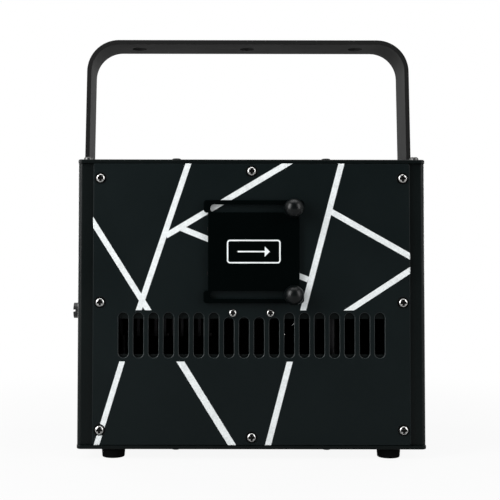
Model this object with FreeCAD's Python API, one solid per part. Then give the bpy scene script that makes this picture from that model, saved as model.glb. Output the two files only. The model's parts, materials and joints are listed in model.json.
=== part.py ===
import FreeCAD, Part
import os
from math import cos, pi, sin

# Laser show projector: a sheet-metal box on rubber feet, held in a U-shaped yoke.
# X runs to the right, Y to the rear, Z up. The origin is on the floor, under the
# middle of the whole part. All lengths are in millimetres.

# Housing
box_width = 221.4
box_depth = 170.0
box_height = 183.5
cover_thickness = 2.3
cover_edge_radius = 0.8
sheet = 1.5
bend_radius = 3.0
side_flange = 22.7
cover_flange = 14.0
panel_thickness = 2.0
panel_margin = 9.95
panel_gap = 0.2
panel_corner_radius = 1.5
panel_edge_chamfer = 0.4
overrun = 1.0
edge_tolerance = 0.01

# Screws
screw_radius = 1.5
screw_head_radius = 3.15
screw_head_height = 2.2
screw_head_round = 1.3
screw_length = 8.0
screw_clearance = 0.2
thread_clearance = 0.05
screw_recess_radius = 3.7
screw_recess_depth = 0.6
small_screw_radius = 1.25
small_screw_head_radius = 2.4
small_screw_head_height = 1.6
small_screw_head_round = 0.9
small_screw_length = 6.0
low_head_radius = 3.0
low_head_height = 1.2
low_head_round = 0.5

# Places of the panel, lid and base screws
panel_screw_inset = 14.6
panel_screw_end = 9.6
panel_screw_rise = 90.2
panel_centre_inset = 5.1
lid_screw_inset = 6.1
lid_screw_setback = 6.0
rail_screw_offset = 48.0
base_screw_setback = 25.0

# Cross rails
rail_end_gap = 8.0
rail_leg = 9.0
bush_relief = 0.5

# Feet
foot_height = 6.2
foot_top_radius = 7.6
foot_bottom_radius = 7.1
foot_edge_radius = 0.8
foot_inset = 22.7
foot_setback = 10.0
foot_recess_depth = 3.0
foot_recess_radius = 3.6

# Vents in the front panel and the frame behind them
vent_end_margin = 2.5
vent_pitch = 9.565
vent_width = 6.2
vent_length = 28.6
vent_edge_radius = 0.6
vent_shutter_gap = 6.05
short_vent_count = 4
short_vent_cut = 2.9
vent_frame_thickness = 1.2
vent_frame_overlap_low = 2.1
vent_frame_overlap_high = 4.0
vent_frame_band = 9.5
vent_frame_end_gap = 0.5
vent_window_margin = 1.0
vent_screw_offset = 11.9
vent_screw_drop = 0.3

# Aperture, window and shutter
aperture_width = 40.0
aperture_height = 38.0
aperture_corner = 3.0
aperture_rise = 122.5
window_recess = 3.0
window_thickness = 2.0
window_lap = 1.8
window_clearance = 0.2
holder_lip = 0.4
holder_wall = 1.5
holder_ear = 8.0
window_screw_rise = 14.0
window_screw_wall = 4.0
countersink_radius = 2.5
shutter_width = 58.0
shutter_slot_margin = 5.3
shutter_ear = 2.85
shutter_ear_height = 8.0
shutter_corner = 2.0
shutter_thickness = 1.5
shutter_edge_chamfer = 0.25
shutter_slot_pitch = 54.7
shutter_slot_reach = 25.1
shutter_clearance = 0.1
guide_radius = 2.4
bush_collar_radius = 4.5
bush_collar_height = 1.0
bush_hole_radius = 3.5
bush_tail = 4.0
thumb_offset = 26.4
thumb_radius = 6.25
thumb_base_radius = 5.0
thumb_length = 10.0
thumb_rim_low = 1.6
thumb_rim_high = 4.4
thumb_stud_length = 9.0
dome_turn_share = 0.2

# Yoke and its clamp knobs
yoke_thickness = 3.0
yoke_strip = 34.0
yoke_gap = 1.2
yoke_height = 192.0
yoke_bend = 22.5
yoke_lean = 1.5
yoke_hole_radius = 5.25
yoke_hole_inset = 14.4
pivot_rise = 80.5
pivot_clearance = 0.1
stud_radius = 3.0
stud_clearance = 0.05
stud_hole_clearance = 0.25
nut_radius = 4.5
nut_flange_radius = 6.5
nut_flange_height = 0.8
nut_board_gap = 0.5
washer_radius = 13.0
knob_radius = 13.5
knob_thickness = 5.0
knob_edge = 1.0
knob_lobes = 6
knob_flute_radius = 4.5
knob_flute_bite = 2.6
knob_boss_radius = 5.5
knob_boss_height = 4.1
knob_notch_width = 1.6
knob_notch_depth = 1.5

# Optical bench, pillars and heat sink
bench_drop = 30.0
bench_thickness = 6.0
bench_corner_radius = 3.0
bench_wall_gap = 10.5
bench_board_gap = 25.9
bench_front_gap = 15.0
bench_rear_gap = 43.0
pillar_radius = 4.0
pillar_inset = 6.0
pillar_bore_depth = 8.0
sink_base = 4.0
sink_height = 22.0
fin_thickness = 2.0
fin_pitch = 6.0
fin_count = 12
sink_inset = 4.0
sink_front_gap = 28.0
sink_rear_gap = 6.0

# Beam, laser modules and combining filters
beam_drop = 14.0
mirror_inset = 18.0
module_length = 42.0
module_height = 30.0
module_edge = 1.0
module_setback = 22.0
module_gap = 6.0
module_end_gap = 8.0
module_galvo_gap = 7.0
module_count = 3
lens_radius = 4.5
lens_length = 8.0
lens_bore = 2.5
diode_cap_radius = 4.0
diode_cap_length = 3.0
filter_size = 12.0
filter_thickness = 1.5
filter_holder_width = 14.0
filter_holder_thickness = 5.0
filter_holder_height = 23.0
filter_hole_radius = 4.5
filter_turn = -45

# Galvo scanner
galvo_radius = 6.5
galvo_length = 36.0
galvo_clearance = 0.05
galvo_wall = 4.5
galvo_grip = 24.0
galvo_foot = 5.0
galvo_standoff = 10.0
galvo_side = 16.0
galvo_shaft_radius = 1.2
galvo_shaft_depth = 4.0
galvo_plug_radius = 3.0
galvo_plug_length = 2.5
hub_radius = 2.6
hub_length = 3.5
scan_mirror_thickness = 1.0
horizontal_mirror_length = 9.0
horizontal_mirror_width = 8.0
vertical_mirror_length = 16.0
vertical_mirror_width = 9.0
mirror_turn = 45

# Boards, standoffs and power supply
board_thickness = 1.6
standoff_radius = 3.0
standoff_length = 9.0
standoff_inset = 5.0
control_wall_gap = 2.0
control_width = 66.0
control_height = 46.0
control_rise = 98.0
driver_front = 46.0
driver_length = 84.0
driver_height = 66.0
driver_lid_gap = 14.9
driver_socket_share = 0.25
can_count = 4
chip_size = 14.0
chip_height = 2.4
header_length = 26.0
header_width = 6.0
header_height = 5.0
can_radius = 5.0
can_height = 7.0
heat_bar_length = 60.0
heat_bar_width = 10.0
heat_bar_height = 14.0
supply_left_gap = 6.0
supply_right_gap = 30.0
supply_front_gap = 27.0
supply_rear_gap = 4.0
supply_height = 35.0
supply_edge = 1.0
supply_slot_count = 9
supply_slot_width = 3.0
supply_slot_length = 50.0
supply_slot_depth = 1.2
terminal_length = 60.0
terminal_width = 11.0
terminal_height = 14.0

# Fan and its punched grille
fan_size = 60.0
fan_depth = 15.0
fan_corner = 3.0
fan_duct_radius = 28.5
fan_hole_offset = 25.0
fan_wall_gap = 2.0
fan_rise = 43.5
fan_hub_radius = 12.5
fan_strut = 3.0
fan_strut_count = 4
fan_back = 3.0
fan_gap = 0.5
fan_tip_gap = 1.0
fan_shaft_radius = 1.5
fan_shaft_clearance = 0.05
blade_count = 11
blade_root_chord = 13.4
blade_tip_chord = 20.0
blade_thickness = 1.2
blade_root_pitch = 52.0
blade_tip_pitch = 30.0
grille_rings = 4
grille_inner_radius = 7.0
grille_pitch = 5.6
grille_slot = 3.6
grille_spoke = 4.0

# Sockets on the rear panel
round_socket_width = 26.0
round_socket_height = 31.0
round_socket_flange = 1.8
round_socket_corner = 2.5
round_socket_radius = 11.8
round_socket_depth = 20.0
round_socket_clearance = 0.2
round_screw_x = 9.5
round_screw_z = 12.0
input_bore = 8.3
input_depth = 14.0
pin_radius = 1.2
pin_circle = 3.8
pin_setback = 5.0
output_ring = 9.3
output_insert = 7.9
output_ring_depth = 10.0
contact_radius = 1.3
contact_depth = 8.0
socket_wall_gap = 5.0
socket_gap = 8.0
inlet_flange_width = 50.0
inlet_flange_height = 22.5
inlet_flange = 2.5
inlet_corner = 4.0
inlet_width = 27.0
inlet_height = 19.5
inlet_depth = 20.0
inlet_mouth_width = 24.6
inlet_mouth_height = 16.6
inlet_mouth_depth = 15.5
inlet_mouth_chamfer = 4.0
inlet_screw_offset = 20.0
inlet_blade_width = 2.0
inlet_blade_height = 4.0
inlet_blade_setback = 5.0
inlet_blade_pitch = 7.0
inlet_blade_stagger = 2.0
inlet_clearance = 0.25
inlet_wall_gap = 3.0
inlet_rise = 28.5
port_flange_width = 53.0
port_flange_height = 12.5
port_flange = 1.0
port_shell_width = 39.0
port_shell_height = 8.4
port_shell_taper = 1.4
port_shell_reach = 5.8
port_body_width = 42.0
port_body_height = 11.0
port_body_depth = 8.0
port_clearance = 0.25
port_post_radius = 2.5
port_post_length = 5.0
port_post_offset = 23.5
port_wall_gap = 11.5

# Power switch and key switch
switch_bezel = 2.0
switch_bezel_lap = 1.5
switch_wall = 1.3
switch_depth = 14.0
switch_floor = 2.0
switch_clearance = 0.25
rocker_width = 12.4
rocker_side_gap = 0.3
rocker_half = 8.8
rocker_swing_gap = 1.2
rocker_end_high = 3.8
rocker_middle_high = 2.6
rocker_end_low = 0.6
rocker_foot_half = 3.0
rocker_foot_low = 4.0
rocker_pivot_depth = 1.0
rocker_pin_radius = 1.3
rocker_pin_reach = 0.9
rocker_pin_clearance = 0.05
rocker_tilt = 10.0
key_port_gap = 6.0
key_bezel_radius = 12.0
key_bezel_height = 2.5
key_body_radius = 9.3
key_body_depth = 25.0
key_body_clearance = 0.2
key_barrel_radius = 6.0
key_barrel_depth = 18.0
key_barrel_clearance = 0.05
key_barrel_sink = 0.2
key_thickness = 2.0
key_blade_width = 7.6
key_blade_depth = 14.0
key_slot_clearance = 0.1
key_neck = 4.0
key_bow_radius = 10.0
key_ring_radius = 2.6

# Display, menu buttons and safety eye
display_width = 46.0
display_height = 18.0
display_lift = 31.0
display_clearance = 0.1
display_corner = 1.0
button_count = 4
button_radius = 3.5
button_reach = 2.4
button_edge = 0.5
button_clearance = 0.3
button_flange_radius = 5.0
button_flange = 1.0
button_flange_gap = 0.1
button_travel = 0.8
button_stop_gap = 0.1
button_pitch = 13.0
button_lift = 9.0
tact_size = 6.0
eye_wall_gap = 17.0
eye_lid_gap = 36.9
eye_thickness = 2.5
eye_width = 22.0
eye_foot_height = 30.0
eye_reach = 19.0
eye_hole_radius = 5.0
eye_hole_reach = 11.0
eye_screw_offset = 11.0

# Heights and faces that follow from the sizes above
half_width = box_width / 2
base_bottom = foot_height
base_top = base_bottom + cover_thickness
lid_top = base_bottom + box_height
lid_bottom = lid_top - cover_thickness
thumb_reach = bush_collar_height + shutter_thickness + 3 * shutter_clearance + thumb_length
key_reach = key_bezel_height + key_neck + 2 * key_bow_radius
centre_y = (thumb_reach - key_reach) / 2
front_y = centre_y - box_depth / 2
rear_y = centre_y + box_depth / 2
front_inner = front_y + panel_thickness
rear_inner = rear_y - panel_thickness
panel_width = box_width - 2 * panel_margin
panel_low = base_top + panel_gap
panel_high = lid_bottom - panel_gap
aperture_z = base_top + aperture_rise
pivot_z = base_top + pivot_rise
beam_z = aperture_z - beam_drop
bench_top = aperture_z - bench_drop
bench_bottom = bench_top - bench_thickness
tapped_radius = screw_radius + thread_clearance
clear_radius = screw_radius + screw_clearance
small_tapped_radius = small_screw_radius + thread_clearance
shutter_back = front_y - bush_collar_height - shutter_clearance
shutter_front = shutter_back - shutter_thickness
thumb_back = shutter_front - 2 * shutter_clearance
shutter_x = thumb_offset - shutter_slot_reach
stud_bore_radius = stud_radius + stud_clearance
yoke_inner = half_width + yoke_gap
yoke_outer = yoke_inner + yoke_thickness
yoke_top = pivot_z + yoke_height
parallel_share = 0.99
full_turn = 360
right_angle = 90

# Places that follow from the walls and the pieces beside them
flange_edge = half_width - side_flange
wall_inner = half_width - sheet
room_front = box_depth / 2 - panel_thickness
room_height = lid_bottom - base_top
shutter_height = shutter_slot_pitch + 2 * shutter_slot_margin
rail_length = 2 * (flange_edge - rail_end_gap)
vent_row = 2 * (flange_edge - vent_end_margin) - vent_width
vent_count = int(vent_row / vent_pitch) + 1
vent_rise = aperture_rise - shutter_height / 2 - vent_shutter_gap - vent_length
yoke_hole_offset = yoke_outer - yoke_bend - yoke_hole_inset
nut_depth = sheet + standoff_length - nut_board_gap
driver_inner = wall_inner - standoff_length - board_thickness - heat_bar_height
driver_rise = room_height - driver_height - driver_lid_gap
bench_left = wall_inner - bench_wall_gap
bench_right = driver_inner - bench_board_gap
bench_front = room_front - bench_front_gap
bench_rear = room_front - bench_rear_gap
pillar_span = pillar_inset + pillar_radius
mirror_line = bench_front - mirror_inset
mirror_y = centre_y - mirror_line
module_front = mirror_line - module_setback
galvo_reach = galvo_radius + galvo_wall
module_run = bench_left - module_end_gap - galvo_reach - module_galvo_gap
module_width = (module_run - (module_count - 1) * module_gap) / module_count
module_pitch = module_width + module_gap
module_first = bench_left - module_end_gap - module_width / 2
sink_left = bench_left - sink_inset
sink_front = bench_front - pillar_span - sink_front_gap
sink_depth = sink_front + bench_rear - pillar_span - sink_rear_gap
supply_left = bench_left - pillar_span - supply_left_gap
supply_width = supply_left + bench_right - pillar_span - supply_right_gap
supply_front = room_front - rail_leg - supply_front_gap
supply_rear = room_front - inlet_depth - terminal_width - supply_rear_gap
supply_depth = supply_front + supply_rear
fan_offset = flange_edge - fan_size / 2 - fan_wall_gap
inlet_offset = inlet_flange_width / 2 + inlet_wall_gap - flange_edge
switch_offset = (inlet_offset + inlet_flange_width / 2 + fan_offset - fan_size / 2) / 2
input_offset = round_socket_width / 2 + socket_wall_gap - flange_edge
output_offset = input_offset + round_socket_width + socket_gap
round_rise = (inlet_rise + inlet_flange_height / 2 + control_rise) / 2
eye_offset = flange_edge - eye_width / 2 - eye_wall_gap
eye_rise = room_height - eye_lid_gap
port_offset = flange_edge - port_flange_width / 2 - port_wall_gap
port_rise = (fan_rise + fan_size / 2 + eye_rise - eye_foot_height / 2) / 2
control_left = flange_edge - control_wall_gap
display_offset = control_width / 2 - control_left
display_rise = control_rise + display_lift
button_first = display_offset - (button_count - 1) * button_pitch / 2
button_rise = control_rise + button_lift
key_offset = (control_width - control_left + eye_offset - eye_width / 2) / 2
key_rise = port_rise + port_flange_height / 2 + key_port_gap + key_bezel_radius

RIGHT = FreeCAD.Vector(1, 0, 0)
REAR = FreeCAD.Vector(0, 1, 0)
UP = FreeCAD.Vector(0, 0, 1)
LEFT = -RIGHT
FRONT = -REAR
DOWN = -UP


def vec(x, y, z):
    return FreeCAD.Vector(x, y, z)


def block(low, high):
    size = high - low
    return Part.makeBox(size.x, size.y, size.z, low)


def rod(radius, start, end):
    run = end - start
    return Part.makeCylinder(radius, run.Length, start, run)


def edges_along(shape, axis):
    return [e for e in shape.Edges if abs(e.tangentAt(e.FirstParameter).dot(axis)) > parallel_share]


def edges_on(shape, axis, level):
    """The edges that lie wholly at one level along an axis."""
    def at_level(edge):
        return all(abs(v.Point.dot(axis) - level) < edge_tolerance for v in edge.Vertexes)

    return [e for e in shape.Edges if at_level(e)]


def slab(x, z, width, height, corner, y_low, y_high):
    """A plate with rounded corners that stands across the Y axis."""
    low = vec(x - width / 2, y_low, z - height / 2)
    high = vec(x + width / 2, y_high, z + height / 2)
    plate = block(low, high)
    return plate.makeFillet(corner, edges_along(plate, REAR))


def slot(start, end, radius, y_low, y_high):
    """A round-ended bar through the Y axis, between two (x, z) end centres."""
    a = vec(start[0], y_low, start[1])
    b = vec(end[0], y_low, end[1])
    along = (b - a).normalize() * radius
    across = along.cross(REAR)
    wire = Part.Wire(
        [
            Part.LineSegment(a + across, b + across).toShape(),
            Part.Arc(b + across, b + along, b - across).toShape(),
            Part.LineSegment(b - across, a - across).toShape(),
            Part.Arc(a - across, a - along, a + across).toShape(),
        ]
    )
    return Part.Face(wire).extrude(vec(0, y_high - y_low, 0))


def through(radius, x, z, y_low, y_high):
    return rod(radius, vec(x, y_low, z), vec(x, y_high, z))


def aimed(shape, at, direction):
    """Places a shape built on +Z so that it stands at a point and faces a direction."""
    shape.Placement = FreeCAD.Placement(at, FreeCAD.Rotation(UP, direction))
    return shape


def mirrored(shape):
    return shape.mirror(vec(0, 0, 0), RIGHT)


def turned(profile):
    """Revolves a list of edges in the XZ plane about the Z axis."""
    return Part.makeSolid(Part.Face(Part.Wire(profile)).revolve(vec(0, 0, 0), DOWN, full_turn))


def line(a, b):
    return Part.LineSegment(a, b).toShape()


def screw_shape(head_radius, head_height, head_round, radius, length):
    head = Part.makeCylinder(head_radius, head_height)
    head = head.makeFillet(head_round, edges_on(head, UP, head_height))
    shank = rod(radius, vec(0, 0, -length), vec(0, 0, 0))
    return head.fuse(shank).removeSplitter()


def pan_screw(at, direction, length=screw_length):
    shape = screw_shape(screw_head_radius, screw_head_height, screw_head_round, screw_radius, length)
    return aimed(shape, at, direction)


def small_screw(at, direction):
    shape = screw_shape(
        small_screw_head_radius,
        small_screw_head_height,
        small_screw_head_round,
        small_screw_radius,
        small_screw_length,
    )
    return aimed(shape, at, direction)


def low_screw(at, direction):
    shape = screw_shape(low_head_radius, low_head_height, low_head_round, screw_radius, screw_length)
    return aimed(shape, at, direction)


def panel_screw_places():
    """The (x, z) places of the screws that hold the front and the rear panel."""
    side_x = half_width - panel_screw_inset
    heights = (panel_low + panel_screw_end, base_top + panel_screw_rise, panel_high - panel_screw_end)
    places = [(side * side_x, z) for side in (-1, 1) for z in heights]
    return places + [(0, panel_low + panel_centre_inset), (0, panel_high - panel_centre_inset)]


def lid_screw_places():
    x = half_width - lid_screw_inset
    y = box_depth / 2 - lid_screw_setback
    return [(sx * x, centre_y + sy * y) for sx in (-1, 1) for sy in (-1, 1)]


def base_screw_places():
    x = half_width - lid_screw_inset
    y = box_depth / 2 - base_screw_setback
    return [(sx * x, centre_y + sy * y) for sx in (-1, 1) for sy in (-1, 1)]


def rail_screw_places():
    y = box_depth / 2 - panel_thickness - rail_leg / 2
    return [(sx * rail_screw_offset, centre_y + sy * y) for sx in (-1, 1) for sy in (-1, 1)]


def foot_places():
    x = half_width - foot_inset
    y = box_depth / 2 - foot_setback
    return [(sx * x, centre_y + sy * y) for sx in (-1, 1) for sy in (-1, 1)]


def pillar_places():
    xs = (-bench_left + pillar_inset, bench_right - pillar_inset)
    ys = (centre_y - bench_front + pillar_inset, centre_y + bench_rear - pillar_inset)
    return [(x, y) for x in xs for y in ys]


def upright_hole(radius, x, y):
    return rod(radius, vec(x, y, -overrun), vec(x, y, lid_top + overrun))


# Housing sheets

def cover(z_low, z_high, outer_z):
    plate = block(vec(-half_width, front_y, z_low), vec(half_width, rear_y, z_high))
    plate = plate.makeFillet(bend_radius, edges_along(plate, UP))
    return plate.makeFillet(cover_edge_radius, edges_on(plate, UP, outer_z))


def make_base_plate():
    plate = cover(base_bottom, base_top, base_bottom)
    clear = base_screw_places() + rail_screw_places() + pillar_places()
    holes = [upright_hole(clear_radius, x, y) for x, y in clear]
    holes += [upright_hole(tapped_radius, x, y) for x, y in foot_places()]
    return plate.cut(holes)


def make_top_lid():
    plate = cover(lid_bottom, lid_top, lid_top)
    places = lid_screw_places() + rail_screw_places()
    return plate.cut([upright_hole(clear_radius, x, y) for x, y in places])


def make_right_side():
    """A folded tray: the side wall with a flange along each of its four edges."""
    inner_x = half_width - side_flange
    outer = block(vec(inner_x, front_inner, base_top), vec(half_width, rear_inner, lid_bottom))
    corners = [e for e in edges_along(outer, UP) if e.CenterOfMass.x > inner_x + overrun]
    outer = outer.makeFillet(bend_radius, corners)
    hollow = block(
        vec(inner_x - overrun, front_inner + sheet, base_top + sheet),
        vec(half_width - sheet, rear_inner - sheet, lid_bottom - sheet),
    )
    corners = [e for e in edges_along(hollow, UP) if e.CenterOfMass.x > inner_x]
    hollow = hollow.makeFillet(bend_radius - sheet, corners)
    trim = block(
        vec(inner_x - overrun, front_inner + sheet, base_top - overrun),
        vec(half_width - cover_flange, rear_inner - sheet, lid_bottom + overrun),
    )
    tray = outer.cut([hollow, trim])
    cuts = [pivot_rod(nut_radius + thread_clearance, 0, half_width + overrun)]
    for x, z in panel_screw_places():
        cuts.append(through(tapped_radius, x, z, front_y, rear_y))
    for x, y in lid_screw_places():
        cuts.append(rod(tapped_radius, vec(x, y, lid_bottom - cover_flange), vec(x, y, lid_top)))
    for x, y in base_screw_places():
        cuts.append(rod(tapped_radius, vec(x, y, base_bottom), vec(x, y, base_top + cover_flange)))
    return tray.cut(cuts)


def bush_reliefs():
    """Clear holes that keep what lies behind the front panel off the bushes' tails."""
    radius = bush_collar_radius + bush_relief
    return [through(radius, x, z, front_y, front_inner + bush_tail) for x, z in thumb_places()]


def make_cross_rails():
    """Angle rails along the top and bottom edges, behind the front and rear panels."""
    rails = []
    half = rail_length / 2
    for inner_y, inward in ((front_inner, 1), (rear_inner, -1)):
        for level, sense in ((base_top, 1), (lid_bottom, -1)):
            y_leg = inner_y + inward * rail_leg
            z_leg = level + sense * rail_leg
            corner = [(inner_y, level), (y_leg, level), (y_leg, level + sense * sheet)]
            corner += [(inner_y + inward * sheet, level + sense * sheet), (inner_y + inward * sheet, z_leg)]
            corner += [(inner_y, z_leg), (inner_y, level)]
            face = Part.Face(Part.makePolygon([vec(-half, y, z) for y, z in corner]))
            rail = face.extrude(vec(rail_length, 0, 0))
            cuts = [through(tapped_radius, x, z, front_y, rear_y) for x, z in panel_screw_places()]
            cuts += [upright_hole(tapped_radius, x, y) for x, y in rail_screw_places()]
            rails.append(rail.cut(cuts + bush_reliefs()))
    return Part.makeCompound(rails)


# Front panel, vents and window

def vent_bars(y_low, y_high):
    radius = vent_width / 2
    low = base_top + vent_rise
    bars = []
    for i in range(vent_count):
        x = (i - (vent_count - 1) / 2) * vent_pitch
        short = abs(x) < short_vent_count * vent_pitch / 2
        high = low + vent_length - (short_vent_cut if short else 0)
        bars.append(slot((x, low + radius), (x, high - radius), radius, y_low, y_high))
    return bars


def vent_rims(panel):
    """The front edges of the vents, apart from the panel's own border."""
    low = base_top + vent_rise - edge_tolerance
    high = base_top + vent_rise + vent_length + edge_tolerance
    rims = [e for e in edges_on(panel, REAR, front_y) if low < e.CenterOfMass.z < high]
    return [e for e in rims if abs(e.CenterOfMass.x) < flange_edge]


def vent_screw_places():
    z = base_top + vent_rise + vent_length - vent_screw_drop
    return [(side * vent_screw_offset, z) for side in (-1, 1)]


def thumb_places():
    return [(thumb_offset, aperture_z + side * shutter_slot_pitch / 2) for side in (1, -1)]


def window_screw_places():
    x = aperture_width / 2 + window_lap + window_screw_wall
    return [(sx * x, aperture_z + sz * window_screw_rise) for sx in (-1, 1) for sz in (-1, 1)]


def panel_plate(y_low, y_high, outer_y):
    height = panel_high - panel_low
    plate = slab(0, (panel_low + panel_high) / 2, panel_width, height, panel_corner_radius, y_low, y_high)
    return plate.makeChamfer(panel_edge_chamfer, edges_on(plate, REAR, outer_y))


def make_front_panel():
    panel = panel_plate(front_y, front_inner, front_y)
    outside = front_y - overrun
    inside = front_inner + overrun
    panel = panel.cut(vent_bars(outside, inside))
    panel = panel.makeFillet(vent_edge_radius, vent_rims(panel))
    cuts = [slab(0, aperture_z, aperture_width, aperture_height, aperture_corner, outside, inside)]
    for x, z in panel_screw_places():
        cuts.append(through(clear_radius, x, z, outside, inside))
        cuts.append(through(screw_recess_radius, x, z, outside, front_y + screw_recess_depth))
    for x, z in vent_screw_places():
        cuts.append(through(small_screw_radius + screw_clearance, x, z, outside, inside))
    cuts += [through(bush_hole_radius, x, z, outside, inside) for x, z in thumb_places()]
    for x, z in window_screw_places():
        cuts.append(countersink(thread_clearance, x, z))
        cuts.append(through(small_tapped_radius, x, z, outside, inside))
    return panel.cut(cuts)


def countersink(allowance, x, z):
    """The cone of a flush window screw's head, or with an allowance its seat."""
    depth = countersink_radius - small_screw_radius
    wide = countersink_radius + allowance
    narrow = small_screw_radius + allowance
    return Part.makeCone(wide, narrow, depth, vec(x, front_y, z), REAR)


def make_vent_frame():
    low = base_top + vent_rise + vent_frame_overlap_low
    high = base_top + vent_rise + vent_length - vent_frame_overlap_high
    half = half_width - side_flange - vent_frame_end_gap
    reach = (vent_count - 1) * vent_pitch / 2 + vent_width / 2 + vent_window_margin
    y_back = front_inner + vent_frame_thickness
    sheet_part = block(
        vec(-half, front_inner, low - vent_frame_band), vec(half, y_back, high + vent_frame_band)
    )
    window = block(vec(-reach, front_y, low), vec(reach, y_back + overrun, high))
    cuts = [through(small_tapped_radius, x, z, front_y, y_back + overrun) for x, z in vent_screw_places()]
    return sheet_part.cut([window] + cuts)


def make_window_holder():
    """A frame behind the aperture that holds the glass a little way back from the panel."""
    pocket_w = aperture_width + 2 * window_lap
    pocket_h = aperture_height + 2 * window_lap
    back = front_inner + window_recess + window_thickness + holder_lip
    width = pocket_w + 2 * holder_ear
    height = pocket_h + 2 * holder_wall
    frame = slab(0, aperture_z, width, height, holder_wall, front_inner, back)
    cuts = [slab(0, aperture_z, aperture_width, aperture_height, aperture_corner, front_y, back)]
    pocket = block(
        vec(-pocket_w / 2, front_inner + window_recess, aperture_z - pocket_h / 2),
        vec(pocket_w / 2, back + overrun, aperture_z + pocket_h / 2),
    )
    cuts.append(pocket)
    cuts += [through(small_tapped_radius, x, z, front_y, back + overrun) for x, z in window_screw_places()]
    return frame.cut(cuts + bush_reliefs())


def make_window_glass():
    half_w = aperture_width / 2 + window_lap - window_clearance
    half_h = aperture_height / 2 + window_lap - window_clearance
    y_low = front_inner + window_recess
    return block(
        vec(-half_w, y_low, aperture_z - half_h), vec(half_w, y_low + window_thickness, aperture_z + half_h)
    )


def make_window_screws():
    screws = []
    for x, z in window_screw_places():
        shank = through(small_screw_radius, x, z, front_y, front_y + small_screw_length)
        screws.append(countersink(0, x, z).fuse(shank).removeSplitter())
    return Part.makeCompound(screws)


# Shutter and its thumbscrews

def make_shutter_bushes():
    bushes = []
    for x, z in thumb_places():
        collar_y = front_y - bush_collar_height
        guide_y = thumb_back + shutter_clearance
        tail_y = front_inner + bush_tail
        bush = through(bush_hole_radius, x, z, front_y, front_inner)
        bush = bush.fuse(through(bush_collar_radius, x, z, collar_y, front_y))
        bush = bush.fuse(through(guide_radius, x, z, guide_y, collar_y))
        bush = bush.fuse(through(bush_collar_radius, x, z, front_inner, tail_y))
        bore = through(tapped_radius, x, z, guide_y - overrun, tail_y + overrun)
        bushes.append(bush.cut(bore).removeSplitter())
    return Part.makeCompound(bushes)


def make_shutter_plate():
    height = shutter_height
    ear_width = shutter_width + 2 * shutter_ear
    z_ear = (height - shutter_ear_height) / 2
    plate = slab(shutter_x, aperture_z, shutter_width, height, shutter_corner, shutter_front, shutter_back)
    for side in (-1, 1):
        ear = slab(
            shutter_x,
            aperture_z + side * z_ear,
            ear_width,
            shutter_ear_height,
            shutter_corner,
            shutter_front,
            shutter_back,
        )
        plate = plate.fuse(ear)
    plate = plate.removeSplitter()
    plate = plate.makeChamfer(shutter_edge_chamfer, edges_on(plate, REAR, shutter_front))
    radius = guide_radius + shutter_clearance
    cuts = []
    for x, z in thumb_places():
        far = x - 2 * shutter_slot_reach
        cuts.append(slot((far, z), (x, z), radius, shutter_front - overrun, shutter_back + overrun))
    return plate.cut(cuts)


def make_thumbscrew(place):
    base = vec(thumb_base_radius, 0, 0)
    low = vec(thumb_radius, 0, thumb_rim_low)
    high = vec(thumb_radius, 0, thumb_rim_high)
    top = vec(0, 0, thumb_length)
    rise = thumb_length - thumb_rim_high
    dome_radius = (thumb_radius**2 + rise**2) / (2 * rise)
    swing = pi * dome_turn_share
    middle = vec(dome_radius * sin(swing), 0, thumb_length - dome_radius + dome_radius * cos(swing))
    dome = Part.Arc(high, middle, top).toShape()
    origin = vec(0, 0, 0)
    head = turned([line(origin, base), line(base, low), line(low, high), dome, line(top, origin)])
    stud = rod(screw_radius, vec(0, 0, -thumb_stud_length), origin)
    return aimed(head.fuse(stud).removeSplitter(), vec(place[0], thumb_back, place[1]), FRONT)


# Yoke, pivots and clamp knobs

def yoke_block(reach, low, high, half, bend):
    """A block across the yoke whose sides lean in above the lid and whose top edges are rounded."""
    lean = yoke_lean * (high - lid_top) / (yoke_top - lid_top)
    corners = [(-reach, low), (-reach, lid_top), (lean - reach, high)]
    corners += [(reach - lean, high), (reach, lid_top), (reach, low), (-reach, low)]
    face = Part.Face(Part.makePolygon([vec(x, centre_y - half, z) for x, z in corners]))
    solid = face.extrude(vec(0, 2 * half, 0))
    bends = [e for e in edges_along(solid, REAR) if e.CenterOfMass.z > lid_top + edge_tolerance]
    return solid.makeFillet(bend, bends)


def make_yoke():
    """A strip bent into a U, with round leg ends about the pivot."""
    half = yoke_strip / 2
    outer = yoke_block(yoke_outer, pivot_z, yoke_top, half, yoke_bend)
    hollow_top = yoke_top - yoke_thickness
    hollow_bend = yoke_bend - yoke_thickness
    inner = yoke_block(yoke_inner, pivot_z - overrun, hollow_top, half + overrun, hollow_bend)
    strip = outer.cut(inner)
    for side in (-1, 1):
        inner_end = vec(side * yoke_inner, centre_y, pivot_z)
        outer_end = vec(side * yoke_outer, centre_y, pivot_z)
        strip = strip.fuse(rod(half, inner_end, outer_end))
    strip = strip.removeSplitter()
    reach = yoke_outer + overrun
    cuts = [pivot_rod(stud_radius + stud_hole_clearance, -reach, reach)]
    for x in (-yoke_hole_offset, 0, yoke_hole_offset):
        low = vec(x, centre_y, yoke_top - yoke_thickness - overrun)
        cuts.append(rod(yoke_hole_radius, low, vec(x, centre_y, yoke_top + overrun)))
    return strip.cut(cuts)


def pivot_rod(radius, x_low, x_high):
    return rod(radius, vec(x_low, centre_y, pivot_z), vec(x_high, centre_y, pivot_z))


def make_pivot_nuts():
    inner = half_width - nut_depth
    nut = pivot_rod(nut_radius, inner, half_width)
    nut = nut.fuse(pivot_rod(nut_flange_radius, half_width, half_width + nut_flange_height))
    lock = half_width - sheet
    nut = nut.fuse(pivot_rod(nut_flange_radius, lock - nut_flange_height, lock))
    nut = nut.cut(pivot_rod(stud_bore_radius, inner - overrun, half_width + nut_flange_height + overrun))
    nut = nut.removeSplitter()
    return Part.makeCompound([nut, mirrored(nut)])


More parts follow.
